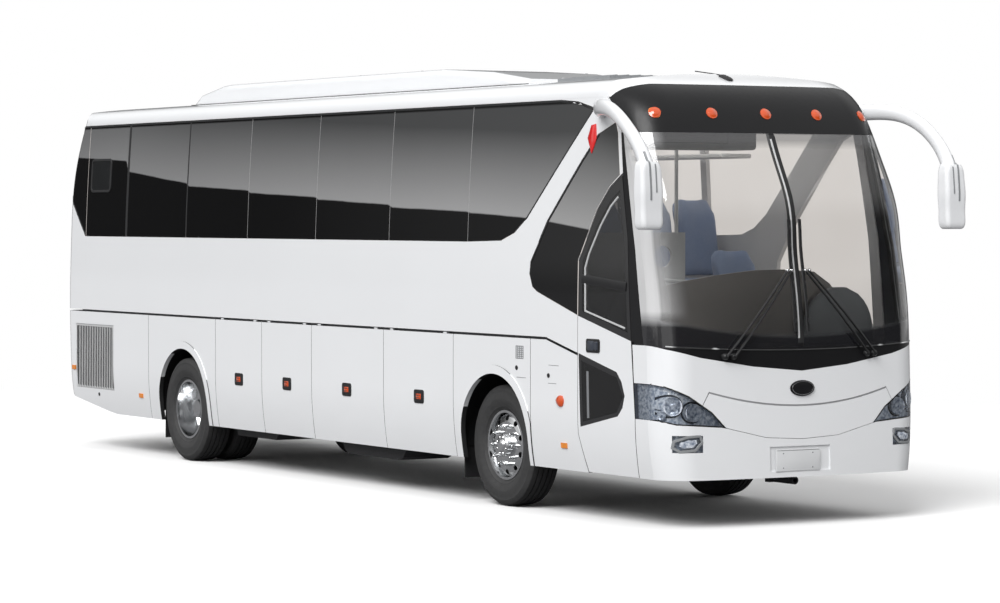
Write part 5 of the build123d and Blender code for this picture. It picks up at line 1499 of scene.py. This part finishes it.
class COACH_OT_cabin(bpy.types.Operator):
    """Driver's binnacle, overhead locker, handrails, parcel racks and ceiling lamps"""
    bl_idname = "coach.cabin"
    bl_label = "Cabin"

    def execute(self, context):
        self.binnacle()
        bm = bmesh.new()
        slab(bm, (4.62, -1.02, 3.02), (4.98, 0.20, 3.36), 0.03)
        slab(bm, (4.975, -0.94, 3.07), (4.992, -0.10, 3.30), 0.008, 1)
        slab(bm, (4.74, 0.30, 3.16), (4.98, 1.02, 3.36), 0.03)
        piece("overhead_locker", bm, ["lining", "grey_plastic"], "body")
        bm = bmesh.new()
        tube(bm, STAIR_RAIL, RAIL_RADIUS, 12)
        tube(bm, STAIR_POLE, RAIL_RADIUS, 12)
        piece("handrails", bm, ["slat_grey"], "body")
        bm = bmesh.new()
        for inner, outer in ((-RACK_Y[1], -RACK_Y[0]), RACK_Y):
            slab(bm, (RACK_ENDS[0], inner, RACK_Z[0]), (RACK_ENDS[1], outer, RACK_Z[1]), 0.012)
        piece("parcel_racks", bm, ["lining"], "body")
        bm = bmesh.new()
        low, high = LAMP_Z
        for y in (-LAMP_Y, LAMP_Y):
            for number in range(LAMP_COUNT):
                x = LAMP_FIRST + number * LAMP_PITCH
                slab(bm, (x, y - LAMP_HALF, low), (x + LAMP_LENGTH, y + LAMP_HALF, high), 0.008, 0, 2)
        slab(bm, (4.30, -0.60, low), (4.50, 0.60, high), 0.008, 0, 2)
        piece("ceiling_lamps", bm, ["ceiling_lamp"], "body")
        return {"FINISHED"}

    def binnacle(self):
        """Rounded instrument hood, switch box with three switches and the board's arched back."""
        bm = bmesh.new()
        rings = []
        for share in evenly(0.0, 1.0, BINNACLE_RINGS):
            width = math.sqrt(max(0.0, 1 - (share * 0.98) ** 2.6))
            rings.append([
                Vector((
                    BINNACLE[0] + 0.09 * math.cos(a) * width,
                    BINNACLE[1] + BINNACLE_HALF * width * 0.85 * math.sin(a),
                    DASH_TOP + BINNACLE_RISE * share,
                )) for a in [2 * math.pi * n / 28 for n in range(28)]
            ])
        rings_to_faces(bm, rings, 2, caps=True)
        slab(bm, (5.02, -0.35, DASH_TOP), (5.34, 0.12, 1.500), 0.02)
        for y in (-0.25, -0.10, 0.02):
            slab(bm, (5.08, y - 0.04, 1.497), (5.16, y + 0.04, 1.508), 0.004, 1, 1)
        board = [bm.verts.new((BOARD_X, y, z)) for y, z in BOARD_CREST]
        board += [bm.verts.new((BOARD_X, y, BOARD_BASE)) for y, _ in reversed(BOARD_CREST)]
        thick = bmesh.ops.extrude_face_region(bm, geom=[bm.faces.new(board)])
        moved = [item for item in thick["geom"] if isinstance(item, bmesh.types.BMVert)]
        bmesh.ops.translate(bm, verts=moved, vec=(-BOARD_THICK, 0, 0))
        piece("binnacle", bm, ["dash", "black_plastic", "grey_plastic"], "body")


# Stage
KEY_TOWARD = Vector((0.38, -0.64, 0.67))
KEY_ANGLE = 38.0
FLOOR_RADIUS = 300.0


class CoachStageSettings(bpy.types.PropertyGroup):
    light: FloatProperty(name="Light", description="Strength of the soft key light", default=3.0)
    sky: FloatProperty(name="Sky", description="Strength of the even light all round", default=0.72)
    body_colour: FloatVectorProperty(
        name="Body colour", description="Colour of the white paint", subtype="COLOR", size=3,
        default=BODY_WHITE,
    )


class COACH_OT_stage(bpy.types.Operator):
    """Floor, soft light, plain background and the picture's camera"""
    bl_idname = "coach.stage"
    bl_label = "Stage"

    def execute(self, context):
        settings = context.scene.coach_stage
        scene = context.scene
        bm = bmesh.new()
        bmesh.ops.create_circle(bm, cap_ends=True, segments=96, radius=FLOOR_RADIUS)
        mesh = bpy.data.meshes.new("studio_floor")
        bm.to_mesh(mesh)
        bm.free()
        mesh.materials.append(floor_finish())
        floor = bpy.data.objects.new("studio_floor", mesh)
        scene.collection.objects.link(floor)
        light = bpy.data.lights.new("key", "SUN")
        light.energy = settings.light
        light.angle = math.radians(KEY_ANGLE)
        key = bpy.data.objects.new("key", light)
        key.rotation_euler = KEY_TOWARD.to_track_quat("Z", "Y").to_euler()
        scene.collection.objects.link(key)
        self.background(scene, settings.sky)
        camera = bpy.data.cameras.new("camera")
        camera.lens = CAMERA_LENS
        camera.sensor_width = CAMERA_SENSOR
        camera.sensor_fit = "HORIZONTAL"
        camera.clip_end = 500.0
        seat = bpy.data.objects.new("camera", camera)
        yaw, pitch = math.radians(CAMERA_YAW), math.radians(CAMERA_PITCH)
        look = Vector((math.cos(yaw) * math.cos(pitch), math.sin(yaw) * math.cos(pitch), math.sin(pitch)))
        seat.location = CAMERA_PLACE
        seat.rotation_euler = look.to_track_quat("-Z", "Y").to_euler()
        scene.collection.objects.link(seat)
        scene.camera = seat
        scene.view_settings.view_transform = "Standard"
        return {"FINISHED"}

    def background(self, scene, sky):
        """White to the eye and through glass; panels of light in a plain room to glossy faces."""
        world = bpy.data.worlds.new("studio")
        scene.world = world
        graph = Graph("studio", world)
        x, y, z = graph.axes(graph.place("Generated"))
        above_ground = ((z + 0.02) * 30.0).clamp()
        gaps = ((x * 9.0).sine() > 0.55) * 0.55
        panels = ((-0.45 - y) * 6.0).clamp() * above_ground * 0.75
        far = ((y - 0.86) * 12.0).clamp() * above_ground * 0.8
        ceiling = ((z - 0.22) * 3.0).clamp() * 0.75
        room = (panels * (1.0 - gaps) + ceiling + far).clamp() * 0.94 + 0.06
        glossy = graph.rays("Glossy")
        direct = graph.rays("Camera", "Transmission")
        level = (1.0 - glossy) * sky + glossy * room
        level = (1.0 - direct) * level + direct
        shader = graph.node("ShaderNodeBackground", sockets={"Color": (1, 1, 1, 1), "Strength": level})
        graph.done(shader, "ShaderNodeOutputWorld")


class COACH_OT_finishes(bpy.types.Operator):
    """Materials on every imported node"""
    bl_idname = "coach.finishes"
    bl_label = "Finishes"

    def execute(self, context):
        make_finishes(tuple(context.scene.coach_stage.body_colour))
        dress_nodes()
        return {"FINISHED"}


SETTINGS = {
    "coach_wheels": CoachWheelSettings,
    "coach_trim": CoachTrimSettings,
    "coach_front": CoachFrontSettings,
    "coach_seats": CoachSeatSettings,
    "coach_stage": CoachStageSettings,
}
OPERATORS = (
    COACH_OT_finishes, COACH_OT_wheels, COACH_OT_side_trim, COACH_OT_front_trim, COACH_OT_wipers,
    COACH_OT_mirrors, COACH_OT_roof, COACH_OT_seats, COACH_OT_cabin, COACH_OT_stage,
)


class COACH_PT_panel(bpy.types.Panel):
    bl_label = "Coach"
    bl_space_type = "VIEW_3D"
    bl_region_type = "UI"
    bl_category = "Coach"

    def draw(self, context):
        for key in SETTINGS:
            group = getattr(context.scene, key)
            for name in group.__annotations__:
                self.layout.prop(group, name)
        for operator in OPERATORS:
            self.layout.operator(operator.bl_idname)


def register():
    for key, group in SETTINGS.items():
        bpy.utils.register_class(group)
        setattr(bpy.types.Scene, key, PointerProperty(type=group))
    for item in OPERATORS + (COACH_PT_panel,):
        bpy.utils.register_class(item)


def unregister():
    for item in reversed(OPERATORS + (COACH_PT_panel,)):
        bpy.utils.unregister_class(item)
    for key, group in SETTINGS.items():
        delattr(bpy.types.Scene, key)
        bpy.utils.unregister_class(group)


def main():
    register()
    bpy.ops.coach.finishes()
    bpy.ops.coach.wheels()
    bpy.ops.coach.side_trim()
    bpy.ops.coach.front_trim()
    bpy.ops.coach.wipers()
    bpy.ops.coach.mirrors()
    bpy.ops.coach.roof()
    bpy.ops.coach.seats()
    bpy.ops.coach.cabin()
    bpy.ops.coach.stage()


if __name__ == "__main__":
    main()
